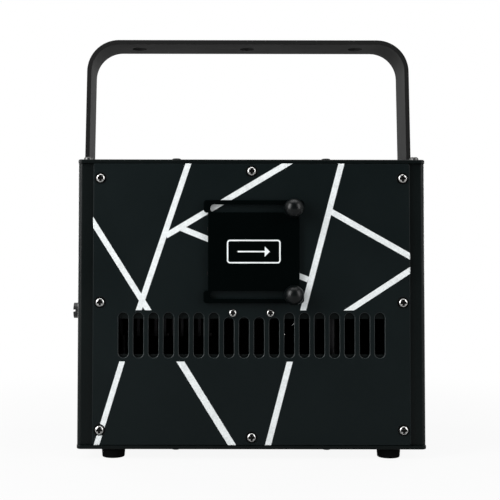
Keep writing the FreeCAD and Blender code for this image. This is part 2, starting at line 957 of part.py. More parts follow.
def make_pivot_washers():
    outer = yoke_inner - pivot_clearance
    washer = pivot_rod(washer_radius, half_width, outer)
    washer = washer.cut(pivot_rod(nut_flange_radius + stud_clearance, half_width - overrun, outer + overrun))
    return Part.makeCompound([washer, mirrored(washer)])


def make_clamp_knob(side):
    """A fluted hand knob with a slotted boss and a stud that reaches through to the rivet nut."""
    body = Part.makeCylinder(knob_radius, knob_thickness)
    rims = edges_on(body, UP, 0) + edges_on(body, UP, knob_thickness)
    body = body.makeFillet(knob_edge, rims)
    ring = knob_radius + knob_flute_radius - knob_flute_bite
    for i in range(knob_lobes):
        angle = 2 * pi * (i + 0.5) / knob_lobes
        x = ring * cos(angle)
        y = ring * sin(angle)
        body = body.cut(rod(knob_flute_radius, vec(x, y, -overrun), vec(x, y, knob_thickness + overrun)))
    top = knob_thickness + knob_boss_height
    boss = rod(knob_boss_radius, vec(0, 0, knob_thickness), vec(0, 0, top))
    notch = block(
        vec(-knob_notch_width / 2, -knob_radius, top - knob_notch_depth),
        vec(knob_notch_width / 2, knob_radius, top + overrun),
    )
    reach = yoke_outer + pivot_clearance - (half_width - nut_depth)
    stud = rod(stud_radius, vec(0, 0, -reach), vec(0, 0, 0))
    knob = body.fuse([boss.cut(notch), stud]).removeSplitter()
    return aimed(knob, vec(side * (yoke_outer + pivot_clearance), centre_y, pivot_z), RIGHT * side)


# Feet and screws

def make_rubber_feet():
    feet = []
    for x, y in foot_places():
        foot = Part.makeCone(foot_bottom_radius, foot_top_radius, foot_height)
        foot = foot.makeFillet(foot_edge_radius, edges_on(foot, UP, 0))
        recess = rod(foot_recess_radius, vec(0, 0, -overrun), vec(0, 0, foot_recess_depth))
        bore = rod(clear_radius, vec(0, 0, 0), vec(0, 0, foot_height + overrun))
        foot = foot.cut([recess, bore])
        foot.translate(vec(x, y, 0))
        feet.append(foot)
    return Part.makeCompound(feet)


def make_cover_screws():
    screws = [pan_screw(vec(x, y, lid_top), UP) for x, y in lid_screw_places()]
    screws += [pan_screw(vec(x, y, base_bottom), DOWN) for x, y in base_screw_places() + pillar_places()]
    grip = base_top - foot_recess_depth
    screws += [pan_screw(vec(x, y, foot_recess_depth), DOWN, grip) for x, y in foot_places()]
    return Part.makeCompound(screws)


def make_low_screws():
    screws = [low_screw(vec(x, y, lid_top), UP) for x, y in rail_screw_places()]
    screws += [low_screw(vec(x, y, base_bottom), DOWN) for x, y in rail_screw_places()]
    return Part.makeCompound(screws)


def make_rear_screws():
    places = panel_screw_places() + fan_screw_places()
    screws = [pan_screw(vec(x, rear_y, z), REAR) for x, z in places]
    for x, z in round_screw_places():
        screws.append(pan_screw(vec(x, rear_y + round_socket_flange, z), REAR))
    for x, z in inlet_screw_places():
        screws.append(pan_screw(vec(x, rear_y + inlet_flange, z), REAR))
    for x, z in eye_screw_places():
        screws.append(pan_screw(vec(x, rear_y + eye_thickness, z), REAR))
    return Part.makeCompound(screws)


# Optics

def make_optical_bench():
    low = vec(-bench_left, centre_y - bench_front, bench_bottom)
    bench = block(low, vec(bench_right, centre_y + bench_rear, bench_top))
    return bench.makeFillet(bench_corner_radius, edges_along(bench, UP))


def make_bench_pillars():
    pillars = []
    for x, y in pillar_places():
        pillar = rod(pillar_radius, vec(x, y, base_top), vec(x, y, bench_bottom))
        bore = rod(tapped_radius, vec(x, y, base_top - overrun), vec(x, y, base_top + pillar_bore_depth))
        pillars.append(pillar.cut(bore))
    return Part.makeCompound(pillars)


def make_heat_sink():
    width = (fin_count - 1) * fin_pitch + fin_thickness
    y_low = centre_y - sink_front
    y_high = y_low + sink_depth
    low = vec(-sink_left, y_low, bench_bottom - sink_base)
    sink = block(low, vec(-sink_left + width, y_high, bench_bottom))
    fins = []
    for i in range(fin_count):
        x = -sink_left + i * fin_pitch
        fin_low = vec(x, y_low, bench_bottom - sink_height)
        fins.append(block(fin_low, vec(x + fin_thickness, y_high, bench_bottom - sink_base)))
    return sink.fuse(fins).removeSplitter()


def module_x(index):
    return -module_first + index * module_pitch


def make_laser_module(index):
    """A diode block with a lens barrel in front and a cap over the diode behind."""
    x = module_x(index)
    front = centre_y - module_front
    rear = front + module_length
    low = vec(x - module_width / 2, front, bench_top)
    body = block(low, vec(x + module_width / 2, rear, bench_top + module_height))
    body = body.makeChamfer(module_edge, edges_along(body, REAR))
    barrel = through(lens_radius, x, beam_z, front - lens_length, front)
    cap = through(diode_cap_radius, x, beam_z, rear, rear + diode_cap_length)
    bore = through(lens_bore, x, beam_z, front - lens_length - overrun, front)
    return body.fuse([barrel.cut(bore), cap]).removeSplitter()


def filter_frame(index):
    """Where a combining filter stands: on the beam line, turned by half a right angle."""
    turn = FreeCAD.Rotation(UP, filter_turn)
    return FreeCAD.Placement(vec(module_x(index), mirror_y, beam_z), turn)


def make_filters():
    plates = []
    half = filter_size / 2
    for index in range(module_count):
        plate = block(vec(-half, 0, -half), vec(half, filter_thickness, half))
        plate.Placement = filter_frame(index)
        plates.append(plate)
    return Part.makeCompound(plates)


def make_filter_holders():
    holders = []
    half = filter_holder_width / 2
    foot = bench_top - beam_z
    for index in range(module_count):
        holder = block(vec(-half, -filter_holder_thickness, foot), vec(half, 0, foot + filter_holder_height))
        window = through(filter_hole_radius, 0, 0, -filter_holder_thickness - overrun, overrun)
        holder = holder.cut(window)
        holder.Placement = filter_frame(index)
        holders.append(holder)
    return Part.makeCompound(holders)


# Galvo scanner: the first mirror sends the beam up, the second sends it out through the window

def make_galvo_block():
    reach = galvo_reach
    front = mirror_y + galvo_standoff
    side = galvo_side
    rear_arm = block(vec(-reach, front, bench_top), vec(reach, front + galvo_grip, beam_z + reach))
    side_arm = block(
        vec(side, mirror_y - reach, bench_top), vec(side + galvo_grip, mirror_y + reach, aperture_z + reach)
    )
    foot = block(
        vec(-reach, mirror_y - reach, bench_top),
        vec(side + galvo_grip, front + galvo_grip, bench_top + galvo_foot),
    )
    bore = galvo_radius + galvo_clearance
    first = through(bore, 0, beam_z, front - overrun, front + galvo_grip + overrun)
    second_start = vec(side - overrun, mirror_y, aperture_z)
    second = rod(bore, second_start, vec(side + galvo_grip + overrun, mirror_y, aperture_z))
    return foot.fuse([rear_arm, side_arm]).cut([first, second]).removeSplitter()


def make_galvo_motor(at, direction):
    """A round motor built on +Z, with a shaft bore in front and a lead plug behind."""
    body = Part.makeCylinder(galvo_radius, galvo_length)
    plug = rod(galvo_plug_radius, vec(0, 0, galvo_length), vec(0, 0, galvo_length + galvo_plug_length))
    bore = rod(galvo_shaft_radius + galvo_clearance, vec(0, 0, -overrun), vec(0, 0, galvo_shaft_depth))
    return aimed(body.fuse(plug).cut(bore).removeSplitter(), at, direction)


def make_scan_mirror(length, width, gap, at, direction):
    """A thin mirror on its hub and shaft, built on +Z with the glass centred on the origin."""
    half = length / 2
    glass = block(
        vec(-scan_mirror_thickness / 2, -width / 2, -half), vec(scan_mirror_thickness / 2, width / 2, half)
    )
    hub = rod(hub_radius, vec(0, 0, half), vec(0, 0, half + hub_length))
    shaft = rod(galvo_shaft_radius, vec(0, 0, half + hub_length), vec(0, 0, gap + galvo_shaft_depth))
    mirror = glass.fuse([hub, shaft]).removeSplitter()
    mirror.rotate(vec(0, 0, 0), UP, mirror_turn)
    return aimed(mirror, at, direction)


# Electronics

def driver_standoff_places():
    """The (y, z) places of the driver board's standoffs on the right side panel."""
    front = centre_y - driver_front
    low = base_top + driver_rise
    ys = (front + standoff_inset, front + driver_length - standoff_inset)
    zs = (low + standoff_inset, low + driver_height - standoff_inset)
    return [(y, z) for y in ys for z in zs]


def control_standoff_places():
    """The (x, z) places of the control board's standoffs on the rear panel."""
    low = base_top + control_rise
    xs = (-control_left + standoff_inset, -control_left + control_width - standoff_inset)
    zs = (low + standoff_inset, low + control_height - standoff_inset)
    return [(x, z) for x in xs for z in zs]


def make_standoffs():
    wall = half_width - sheet
    posts = [
        rod(standoff_radius, vec(wall - standoff_length, y, z), vec(wall, y, z))
        for y, z in driver_standoff_places()
    ]
    posts += [
        through(standoff_radius, x, z, rear_inner - standoff_length, rear_inner)
        for x, z in control_standoff_places()
    ]
    return Part.makeCompound(posts)


def make_driver_board():
    """A board on edge beside the bench, with a heat bar, two sockets and four capacitors."""
    face = half_width - sheet - standoff_length
    inner = face - board_thickness
    front = centre_y - driver_front
    low = base_top + driver_rise
    board = block(vec(inner, front, low), vec(face, front + driver_length, low + driver_height))
    middle = front + driver_length / 2
    top = low + driver_height
    bar = block(
        vec(inner - heat_bar_height, middle - heat_bar_length / 2, top - heat_bar_width),
        vec(inner, middle + heat_bar_length / 2, top),
    )
    fittings = [bar]
    for side in (-1, 1):
        y = middle + side * driver_length * driver_socket_share
        fittings.append(
            block(
                vec(inner - header_height, y - header_length / 2, low),
                vec(inner, y + header_length / 2, low + header_width),
            )
        )
    for i in range(can_count):
        y = front + driver_length * (i + 1) / (can_count + 1)
        z = low + driver_height / 2
        fittings.append(rod(can_radius, vec(inner - can_height, y, z), vec(inner, y, z)))
    return board.fuse(fittings).removeSplitter()


def button_places():
    return [(button_first + i * button_pitch, base_top + button_rise) for i in range(button_count)]


def make_control_board():
    """A board behind the rear panel that carries the display, four key contacts and a processor."""
    rear_face = rear_inner - standoff_length
    front_face = rear_face - board_thickness
    low = base_top + control_rise
    board = block(
        vec(-control_left, front_face, low),
        vec(-control_left + control_width, rear_face, low + control_height),
    )
    display_z = base_top + display_rise
    fittings = [
        slab(display_offset, display_z, display_width, display_height, display_corner, rear_face, rear_inner)
    ]
    contact_y = button_rear() - button_travel - button_stop_gap
    for x, z in button_places():
        fittings.append(
            block(
                vec(x - tact_size / 2, rear_face, z - tact_size / 2),
                vec(x + tact_size / 2, contact_y, z + tact_size / 2),
            )
        )
    chip_x = -control_left + control_width / 2
    chip_z = low + control_height / 2
    fittings.append(
        block(
            vec(chip_x - chip_size / 2, front_face - chip_height, chip_z - chip_size / 2),
            vec(chip_x + chip_size / 2, front_face, chip_z + chip_size / 2),
        )
    )
    fittings.append(
        block(
            vec(chip_x - header_length / 2, front_face - header_height, low),
            vec(chip_x + header_length / 2, front_face, low + header_width),
        )
    )
    return board.fuse(fittings).removeSplitter()


def make_power_supply():
    """A closed supply with a slotted top and a terminal strip at its rear."""
    front = centre_y - supply_front
    rear = front + supply_depth
    top = base_top + supply_height
    case = block(vec(-supply_left, front, base_top), vec(-supply_left + supply_width, rear, top))
    case = case.makeFillet(supply_edge, edges_on(case, UP, top))
    middle_y = front + supply_depth / 2
    slots = []
    for i in range(supply_slot_count):
        x = -supply_left + supply_width * (i + 1) / (supply_slot_count + 1)
        slots.append(
            block(
                vec(x - supply_slot_width / 2, middle_y - supply_slot_length / 2, top - supply_slot_depth),
                vec(x + supply_slot_width / 2, middle_y + supply_slot_length / 2, top + overrun),
            )
        )
    middle_x = -supply_left + supply_width / 2
    strip = block(
        vec(middle_x - terminal_length / 2, rear, base_top),
        vec(middle_x + terminal_length / 2, rear + terminal_width, base_top + terminal_height),
    )
    return case.cut(slots).fuse(strip).removeSplitter()


# Fan

def fan_centre():
    return (fan_offset, base_top + fan_rise)


def fan_screw_places():
    x, z = fan_centre()
    return [(x + sx * fan_hole_offset, z + sz * fan_hole_offset) for sx in (-1, 1) for sz in (-1, 1)]


def make_fan_frame():
    x, z = fan_centre()
    front = rear_inner - fan_depth
    frame = slab(x, z, fan_size, fan_size, fan_corner, front, rear_inner)
    frame = frame.cut(through(fan_duct_radius, x, z, front - overrun, rear_inner + overrun))
    hub = through(fan_hub_radius, x, z, front, front + fan_back)
    struts = []
    for i in range(fan_strut_count):
        strut = block(
            vec(x, front, z - fan_strut / 2),
            vec(x + fan_duct_radius + overrun, front + fan_back, z + fan_strut / 2),
        )
        strut.rotate(vec(x, front, z), REAR, full_turn * (i + 0.5) / fan_strut_count)
        struts.append(strut)
    frame = frame.fuse([hub] + struts)
    cuts = []
    for sx, sz in fan_screw_places():
        cuts.append(through(tapped_radius, sx, sz, front - overrun, rear_inner + overrun))
    bore = fan_shaft_radius + fan_shaft_clearance
    cuts.append(through(bore, x, z, front - overrun, rear_inner))
    return frame.cut(cuts).removeSplitter()


def blade_section(radius, chord, pitch, middle_y):
    """A thin rectangle across a blade, at one radius and set at one pitch."""
    half_chord = chord / 2
    half_thick = blade_thickness / 2
    corners = [(-half_chord, -half_thick), (half_chord, -half_thick)]
    corners += [(half_chord, half_thick), (-half_chord, half_thick), (-half_chord, -half_thick)]
    wire = Part.makePolygon([vec(radius, a, b) for a, b in corners])
    wire.rotate(vec(0, 0, 0), RIGHT, right_angle - pitch)
    wire.translate(vec(0, middle_y, 0))
    return wire


def make_fan_rotor():
    x, z = fan_centre()
    front = rear_inner - fan_depth
    hub_front = front + fan_back + fan_gap
    hub_rear = rear_inner - fan_gap
    middle = (hub_front + hub_rear) / 2
    rotor = through(fan_hub_radius, 0, 0, hub_front, hub_rear)
    rotor = rotor.fuse(through(fan_shaft_radius, 0, 0, front, hub_front))
    tip = fan_duct_radius - fan_tip_gap
    root = fan_hub_radius - blade_thickness
    root_section = blade_section(root, blade_root_chord, blade_root_pitch, middle)
    tip_section = blade_section(tip, blade_tip_chord, blade_tip_pitch, middle)
    blade = Part.makeLoft([root_section, tip_section], True, True)
    tip_round = through(tip, 0, 0, hub_front, hub_rear)
    blade = blade.common(tip_round)
    blades = []
    for i in range(blade_count):
        copy = blade.copy()
        copy.rotate(vec(0, 0, 0), REAR, full_turn * i / blade_count)
        blades.append(copy)
    rotor = rotor.fuse(blades).removeSplitter()
    rotor.translate(vec(x, 0, z))
    return rotor


def grille_cuts(y_low, y_high):
    """Rings of punched arcs in front of the fan, parted by two crossed spokes."""
    x, z = fan_centre()
    rings = []
    for i in range(grille_rings):
        inner = grille_inner_radius + i * grille_pitch
        ring = through(inner + grille_slot, x, z, y_low, y_high)
        rings.append(ring.cut(through(inner, x, z, y_low - overrun, y_high + overrun)))
    reach = grille_inner_radius + grille_rings * grille_pitch
    half = grille_spoke / 2
    bars = [
        block(vec(x - reach, y_low - overrun, z - half), vec(x + reach, y_high + overrun, z + half)),
        block(vec(x - half, y_low - overrun, z - reach), vec(x + half, y_high + overrun, z + reach)),
    ]
    return [ring.cut(bars) for ring in rings]


# Rear panel and what it carries

def round_screw_places():
    z = base_top + round_rise
    places = []
    for x in (input_offset, output_offset):
        places.append((x - round_screw_x, z + round_screw_z))
        places.append((x + round_screw_x, z - round_screw_z))
    return places


def inlet_screw_places():
    return [(inlet_offset + side * inlet_screw_offset, base_top + inlet_rise) for side in (-1, 1)]


def eye_screw_places():
    return [(eye_offset, base_top + eye_rise + side * eye_screw_offset) for side in (-1, 1)]


def make_rear_panel():
    panel = panel_plate(rear_inner, rear_y, rear_y)
    inside = rear_inner - overrun
    outside = rear_y + overrun
    cuts = grille_cuts(inside, outside)
    for x, z in panel_screw_places() + fan_screw_places():
        cuts.append(through(clear_radius, x, z, inside, outside))
    for x, z in round_screw_places() + inlet_screw_places() + eye_screw_places():
        cuts.append(through(tapped_radius, x, z, inside, outside))
    for x in (input_offset, output_offset):
        hole = round_socket_radius + round_socket_clearance
        cuts.append(through(hole, x, base_top + round_rise, inside, outside))
    switch_w, switch_h = switch_body_half()
    windows = [
        (inlet_offset, inlet_z(), inlet_width / 2, inlet_height / 2, inlet_clearance),
        (port_offset, base_top + port_rise, port_body_width / 2, port_body_height / 2, port_clearance),
        (switch_offset, inlet_z(), switch_w, switch_h, switch_clearance),
    ]
    for x, z, half_w, half_h, gap in windows:
        low = vec(x - half_w - gap, inside, z - half_h - gap)
        cuts.append(block(low, vec(x + half_w + gap, outside, z + half_h + gap)))
    cuts.append(through(key_body_radius + key_body_clearance, key_offset, key_z(), inside, outside))
    width = display_width + 2 * display_clearance
    height = display_height + 2 * display_clearance
    corner = display_corner + display_clearance
    cuts.append(slab(display_offset, base_top + display_rise, width, height, corner, inside, outside))
    cuts += [through(button_radius + button_clearance, x, z, inside, outside) for x, z in button_places()]
    return panel.cut(cuts)


def inlet_z():
    return base_top + inlet_rise


def round_socket(x):
    z = base_top + round_rise
    face = rear_y + round_socket_flange
    flange = slab(x, z, round_socket_width, round_socket_height, round_socket_corner, rear_y, face)
    flange = flange.fuse(through(round_socket_radius, x, z, rear_y - round_socket_depth, rear_y))
    return flange.cut(screw_holes(round_screw_places(), face)).removeSplitter()


def screw_holes(places, face):
    """Clear holes through a flange that stands on the rear panel."""
    return [through(clear_radius, x, z, rear_y - overrun, face + overrun) for x, z in places]


def pin_places(x):
    z = base_top + round_rise
    spots = []
    for turn in (0, 1, 3):
        angle = pi * turn / 2
        spots.append((x + pin_circle * cos(angle), z + pin_circle * sin(angle)))
    return spots


def make_input_socket():
    face = rear_y + round_socket_flange
    floor = face - input_depth
    socket = round_socket(input_offset)
    socket = socket.cut(through(input_bore, input_offset, base_top + round_rise, floor, face + overrun))
    pins = [through(pin_radius, x, z, floor, face - pin_setback) for x, z in pin_places(input_offset)]
    return socket.fuse(pins).removeSplitter()


def make_output_socket():
    face = rear_y + round_socket_flange
    z = base_top + round_rise
    socket = round_socket(output_offset)
    groove = through(output_ring, output_offset, z, face - output_ring_depth, face + overrun)
    groove = groove.cut(through(output_insert, output_offset, z, front_y, face + 2 * overrun))
    floor = face - contact_depth
    spots = pin_places(output_offset)
    contacts = [through(contact_radius, px, pz, floor, face + overrun) for px, pz in spots]
    return socket.cut([groove] + contacts)


def make_power_inlet():
    """A mains inlet: a flange, a mouth with two cut corners and three flat blades."""
    z = inlet_z()
    face = rear_y + inlet_flange
    inlet = slab(inlet_offset, z, inlet_flange_width, inlet_flange_height, inlet_corner, rear_y, face)
    body = block(
        vec(inlet_offset - inlet_width / 2, rear_y - inlet_depth, z - inlet_height / 2),
        vec(inlet_offset + inlet_width / 2, rear_y, z + inlet_height / 2),
    )
    floor = face - inlet_mouth_depth
    mouth = block(
        vec(inlet_offset - inlet_mouth_width / 2, floor, z - inlet_mouth_height / 2),
        vec(inlet_offset + inlet_mouth_width / 2, face + overrun, z + inlet_mouth_height / 2),
    )
    upper = [e for e in edges_along(mouth, REAR) if e.CenterOfMass.z > z]
    mouth = mouth.makeChamfer(inlet_mouth_chamfer, upper)
    inlet = inlet.fuse(body).cut([mouth] + screw_holes(inlet_screw_places(), face))
    blades = []
    for i in (-1, 0, 1):
        x = inlet_offset + i * inlet_blade_pitch
        blade_z = z + inlet_blade_stagger * (1 - 2 * abs(i))
        blades.append(
            block(
                vec(x - inlet_blade_width / 2, floor, blade_z - inlet_blade_height / 2),
                vec(x + inlet_blade_width / 2, face - inlet_blade_setback, blade_z + inlet_blade_height / 2),
            )
        )
    return inlet.fuse(blades).removeSplitter()


def make_signal_port():
    """A D-shaped connector: flange, tapered shell, body behind the panel and two posts."""
    z = base_top + port_rise
    flange = block(
        vec(port_offset - port_flange_width / 2, rear_y, z - port_flange_height / 2),
        vec(port_offset + port_flange_width / 2, rear_y + port_flange, z + port_flange_height / 2),
    )
    body = block(
        vec(port_offset - port_body_width / 2, rear_y - port_body_depth, z - port_body_height / 2),
        vec(port_offset + port_body_width / 2, rear_y, z + port_body_height / 2),
    )
    face = rear_y + port_flange
    half = port_shell_width / 2
    rise = port_shell_height / 2
    foot = half - port_shell_taper
    corners = [(half, rise), (foot, -rise), (-foot, -rise), (-half, rise)]
    ring = [vec(port_offset + x, face, z + dz) for x, dz in corners]
    shell = Part.Face(Part.makePolygon(ring + ring[:1])).extrude(vec(0, port_shell_reach, 0))
    shell = shell.makeFillet(port_shell_taper, edges_along(shell, REAR))
    posts = [
        through(port_post_radius, port_offset + side * port_post_offset, z, face, face + port_post_length)
        for side in (-1, 1)
    ]
    return flange.fuse([body, shell] + posts).removeSplitter()


def switch_cavity_half():
    return (rocker_width / 2 + rocker_side_gap, rocker_half + rocker_swing_gap)


def switch_body_half():
    half_w, half_h = switch_cavity_half()
    return (half_w + switch_wall, half_h + switch_wall)


def rocker_axis_y():
    return rear_y - rocker_pivot_depth


def make_switch_frame():
    z = inlet_z()
    face = rear_y + switch_bezel
    half_w, half_h = switch_body_half()
    bezel = slab(
        switch_offset,
        z,
        2 * (half_w + switch_bezel_lap),
        2 * (half_h + switch_bezel_lap),
        switch_bezel_lap,
        rear_y,
        face,
    )
    body = block(
        vec(switch_offset - half_w, rear_y - switch_depth, z - half_h),
        vec(switch_offset + half_w, rear_y, z + half_h),
    )
    cave_w, cave_h = switch_cavity_half()
    cave = block(
        vec(switch_offset - cave_w, rear_y - switch_depth + switch_floor, z - cave_h),
        vec(switch_offset + cave_w, face + overrun, z + cave_h),
    )
    reach = rocker_width / 2 + rocker_pin_reach + rocker_pin_clearance
    y = rocker_axis_y()
    seat_radius = rocker_pin_radius + rocker_pin_clearance
    seat = rod(seat_radius, vec(switch_offset - reach, y, z), vec(switch_offset + reach, y, z))
    return bezel.fuse(body).cut([cave, seat]).removeSplitter()


def make_power_rocker():
    """A rocker with a shallow V face, resting with its lower end pressed in."""
    z = inlet_z()
    outline = [(-rocker_half, rocker_end_low), (-rocker_half, rocker_end_high), (0, rocker_middle_high)]
    outline += [(rocker_half, rocker_end_high), (rocker_half, rocker_end_low)]
    outline += [(rocker_foot_half, -rocker_foot_low), (-rocker_foot_half, -rocker_foot_low)]
    left = switch_offset - rocker_width / 2
    ring = [vec(left, rear_y + dy, z + dz) for dz, dy in outline]
    rocker = Part.Face(Part.makePolygon(ring + ring[:1])).extrude(vec(rocker_width, 0, 0))
    y = rocker_axis_y()
    reach = rocker_width / 2 + rocker_pin_reach
    pin = rod(rocker_pin_radius, vec(switch_offset - reach, y, z), vec(switch_offset + reach, y, z))
    rocker = rocker.fuse(pin).removeSplitter()
    rocker.rotate(vec(switch_offset, y, z), LEFT, rocker_tilt)
    return rocker


def key_z():
    return base_top + key_rise


def make_key_switch():
    face = rear_y + key_bezel_height
    body = through(key_bezel_radius, key_offset, key_z(), rear_y, face)
    body = body.fuse(through(key_body_radius, key_offset, key_z(), rear_y - key_body_depth, rear_y))
    bore = key_barrel_radius + key_barrel_clearance
    floor = face - key_barrel_sink - key_barrel_depth - key_barrel_clearance
    return body.cut(through(bore, key_offset, key_z(), floor, face + overrun)).removeSplitter()


def make_key_barrel():
    top = rear_y + key_bezel_height - key_barrel_sink
    barrel = through(key_barrel_radius, key_offset, key_z(), top - key_barrel_depth, top)
    half_t = key_thickness / 2 + key_slot_clearance
    half_w = key_blade_width / 2 + key_slot_clearance
    slit = block(
        vec(key_offset - half_t, top - key_blade_depth - key_slot_clearance, key_z() - half_w),
        vec(key_offset + half_t, top + overrun, key_z() + half_w),
    )
    return barrel.cut(slit)


def make_switch_key():
    top = rear_y + key_bezel_height - key_barrel_sink
    half_t = key_thickness / 2
    blade_end = rear_y + key_reach - key_bow_radius
    blade = block(
        vec(key_offset - half_t, top - key_blade_depth, key_z() - key_blade_width / 2),
        vec(key_offset + half_t, blade_end, key_z() + key_blade_width / 2),
    )
    bow_left = vec(key_offset - half_t, blade_end, key_z())
    bow_right = vec(key_offset + half_t, blade_end, key_z())
    bow = rod(key_bow_radius, bow_left, bow_right)
    hole_y = blade_end + key_bow_radius / 2
    hole_left = vec(key_offset - half_t - overrun, hole_y, key_z())
    hole = rod(key_ring_radius, hole_left, vec(key_offset + half_t + overrun, hole_y, key_z()))
    return blade.fuse(bow).removeSplitter().cut(hole)


def make_display_window():
    z = base_top + display_rise
    return slab(display_offset, z, display_width, display_height, display_corner, rear_inner, rear_y)


def button_rear():
    return rear_inner - button_flange_gap - button_flange


def make_menu_button(place):
    x, z = place
    cap = through(button_radius, x, z, button_rear(), rear_y + button_reach)
    cap = cap.makeFillet(button_edge, edges_on(cap, REAR, rear_y + button_reach))
    flange = through(button_flange_radius, x, z, button_rear(), button_rear() + button_flange)
    return cap.fuse(flange).removeSplitter()


def make_safety_eye():
    """A bent tab on the rear panel for a safety cable."""
    z = base_top + eye_rise
    half = eye_width / 2
    face = rear_y + eye_thickness
    foot = slab(eye_offset, z, eye_width, eye_foot_height, eye_thickness, rear_y, face)
    tab_low = z - eye_thickness / 2
    tab_high = z + eye_thickness / 2
    straight = rear_y + eye_hole_reach
    tab = block(vec(eye_offset - half, face, tab_low), vec(eye_offset + half, straight, tab_high))
    nose_radius = eye_reach - eye_hole_reach
    nose = rod(nose_radius, vec(eye_offset, straight, tab_low), vec(eye_offset, straight, tab_high))
    hole_low = vec(eye_offset, straight, tab_low - overrun)
    hole = rod(eye_hole_radius, hole_low, vec(eye_offset, straight, tab_high + overrun))
    tab = tab.fuse(nose).cut(hole)
    return foot.cut(screw_holes(eye_screw_places(), face)).fuse(tab).removeSplitter()


right_side = make_right_side()
first_motor = vec(0, mirror_y + galvo_standoff, beam_z)
second_motor = vec(galvo_side, mirror_y, aperture_z)
upper_thumb, lower_thumb = thumb_places()

nodes = {
    "base_plate": make_base_plate(),
    "top_lid": make_top_lid(),
    "right_side_panel": right_side,
    "left_side_panel": mirrored(right_side),
    "cross_rails": make_cross_rails(),
    "front_panel": make_front_panel(),
    "rear_panel": make_rear_panel(),
    "vent_frame": make_vent_frame(),
    "window_holder": make_window_holder(),
    "window_glass": make_window_glass(),
    "window_screws": make_window_screws(),
    "shutter_bushes": make_shutter_bushes(),
    "shutter_plate": make_shutter_plate(),
    "upper_thumbscrew": make_thumbscrew(upper_thumb),
    "lower_thumbscrew": make_thumbscrew(lower_thumb),
    "yoke": make_yoke(),
    "pivot_nuts": make_pivot_nuts(),
    "pivot_washers": make_pivot_washers(),
    "left_clamp_knob": make_clamp_knob(-1),
    "right_clamp_knob": make_clamp_knob(1),
    "rubber_feet": make_rubber_feet(),
    "cover_screws": make_cover_screws(),
    "low_screws": make_low_screws(),
    "rear_screws": make_rear_screws(),
    "optical_bench": make_optical_bench(),
    "bench_pillars": make_bench_pillars(),
    "heat_sink": make_heat_sink(),
    "red_laser_module": make_laser_module(0),
    "green_laser_module": make_laser_module(1),
    "blue_laser_module": make_laser_module(2),
    "combining_filters": make_filters(),
    "filter_holders": make_filter_holders(),
    "galvo_block": make_galvo_block(),
    "horizontal_galvo_motor": make_galvo_motor(first_motor, REAR),
    "vertical_galvo_motor": make_galvo_motor(second_motor, RIGHT),
    "standoffs": make_standoffs(),
    "galvo_driver_board": make_driver_board(),
    "control_board": make_control_board(),
    "power_supply": make_power_supply(),
    "fan_frame": make_fan_frame(),
    "fan_rotor": make_fan_rotor(),
    "input_socket": make_input_socket(),
    "output_socket": make_output_socket(),
    "power_inlet": make_power_inlet(),
    "signal_port": make_signal_port(),
    "power_switch_frame": make_switch_frame(),
    "power_rocker": make_power_rocker(),
    "key_switch_body": make_key_switch(),
    "key_barrel": make_key_barrel(),
    "switch_key": make_switch_key(),
    "display_window": make_display_window(),
    "safety_eye": make_safety_eye(),
}
nodes["front_panel_screws"] = Part.makeCompound(
    [pan_screw(vec(x, front_y + screw_recess_depth, z), FRONT) for x, z in panel_screw_places()]
)
nodes["vent_screws"] = Part.makeCompound(
    [small_screw(vec(x, front_y, z), FRONT) for x, z in vent_screw_places()]
)
first_spot = vec(0, mirror_y, beam_z)
second_spot = vec(0, mirror_y, aperture_z)
nodes["horizontal_scan_mirror"] = make_scan_mirror(
    horizontal_mirror_length, horizontal_mirror_width, galvo_standoff, first_spot, REAR
)
nodes["vertical_scan_mirror"] = make_scan_mirror(
    vertical_mirror_length, vertical_mirror_width, galvo_side, second_spot, RIGHT
)
for i, place in enumerate(button_places()):
    nodes["menu_button_%d" % (i + 1)] = make_menu_button(place)

os.makedirs("parts", exist_ok=True)
for name, shape in nodes.items():
    shape.exportStep("parts/%s.step" % name)
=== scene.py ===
"""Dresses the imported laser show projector: finishes, screws, fittings, stage and camera."""

import json
from math import cos, pi, radians, sin, tau

import bmesh
import bpy
from bpy.props import FloatProperty, FloatVectorProperty, IntProperty, PointerProperty
from mathutils import Matrix, Vector

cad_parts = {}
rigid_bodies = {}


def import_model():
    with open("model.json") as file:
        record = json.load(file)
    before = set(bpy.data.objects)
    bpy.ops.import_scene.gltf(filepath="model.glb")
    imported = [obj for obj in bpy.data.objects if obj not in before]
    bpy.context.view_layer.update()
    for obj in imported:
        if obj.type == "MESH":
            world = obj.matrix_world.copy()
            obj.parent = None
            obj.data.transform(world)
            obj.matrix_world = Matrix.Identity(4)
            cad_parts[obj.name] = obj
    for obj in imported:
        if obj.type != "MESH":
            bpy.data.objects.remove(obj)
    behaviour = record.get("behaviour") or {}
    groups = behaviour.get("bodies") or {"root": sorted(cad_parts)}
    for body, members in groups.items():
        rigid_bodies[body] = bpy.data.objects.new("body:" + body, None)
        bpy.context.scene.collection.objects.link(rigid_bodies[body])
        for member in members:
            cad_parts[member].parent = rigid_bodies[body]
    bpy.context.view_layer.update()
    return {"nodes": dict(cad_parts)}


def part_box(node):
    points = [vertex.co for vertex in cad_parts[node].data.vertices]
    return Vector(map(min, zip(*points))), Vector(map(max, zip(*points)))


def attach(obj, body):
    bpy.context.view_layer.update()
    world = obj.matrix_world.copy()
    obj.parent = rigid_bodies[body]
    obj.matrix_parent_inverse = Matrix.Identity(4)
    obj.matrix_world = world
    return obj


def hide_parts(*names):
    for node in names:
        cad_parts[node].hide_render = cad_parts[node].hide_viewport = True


bl_info = {
    "name": "Laser Show Projector",
    "version": (1, 0, 0),
    "blender": (4, 5, 0),
    "location": "3D View > Sidebar > Projector",
    "description": "Finishes, screws, fittings and studio of a laser show projector",
    "category": "Object",
}

for leftover in list(bpy.data.objects):
    bpy.data.objects.remove(leftover)
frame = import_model()

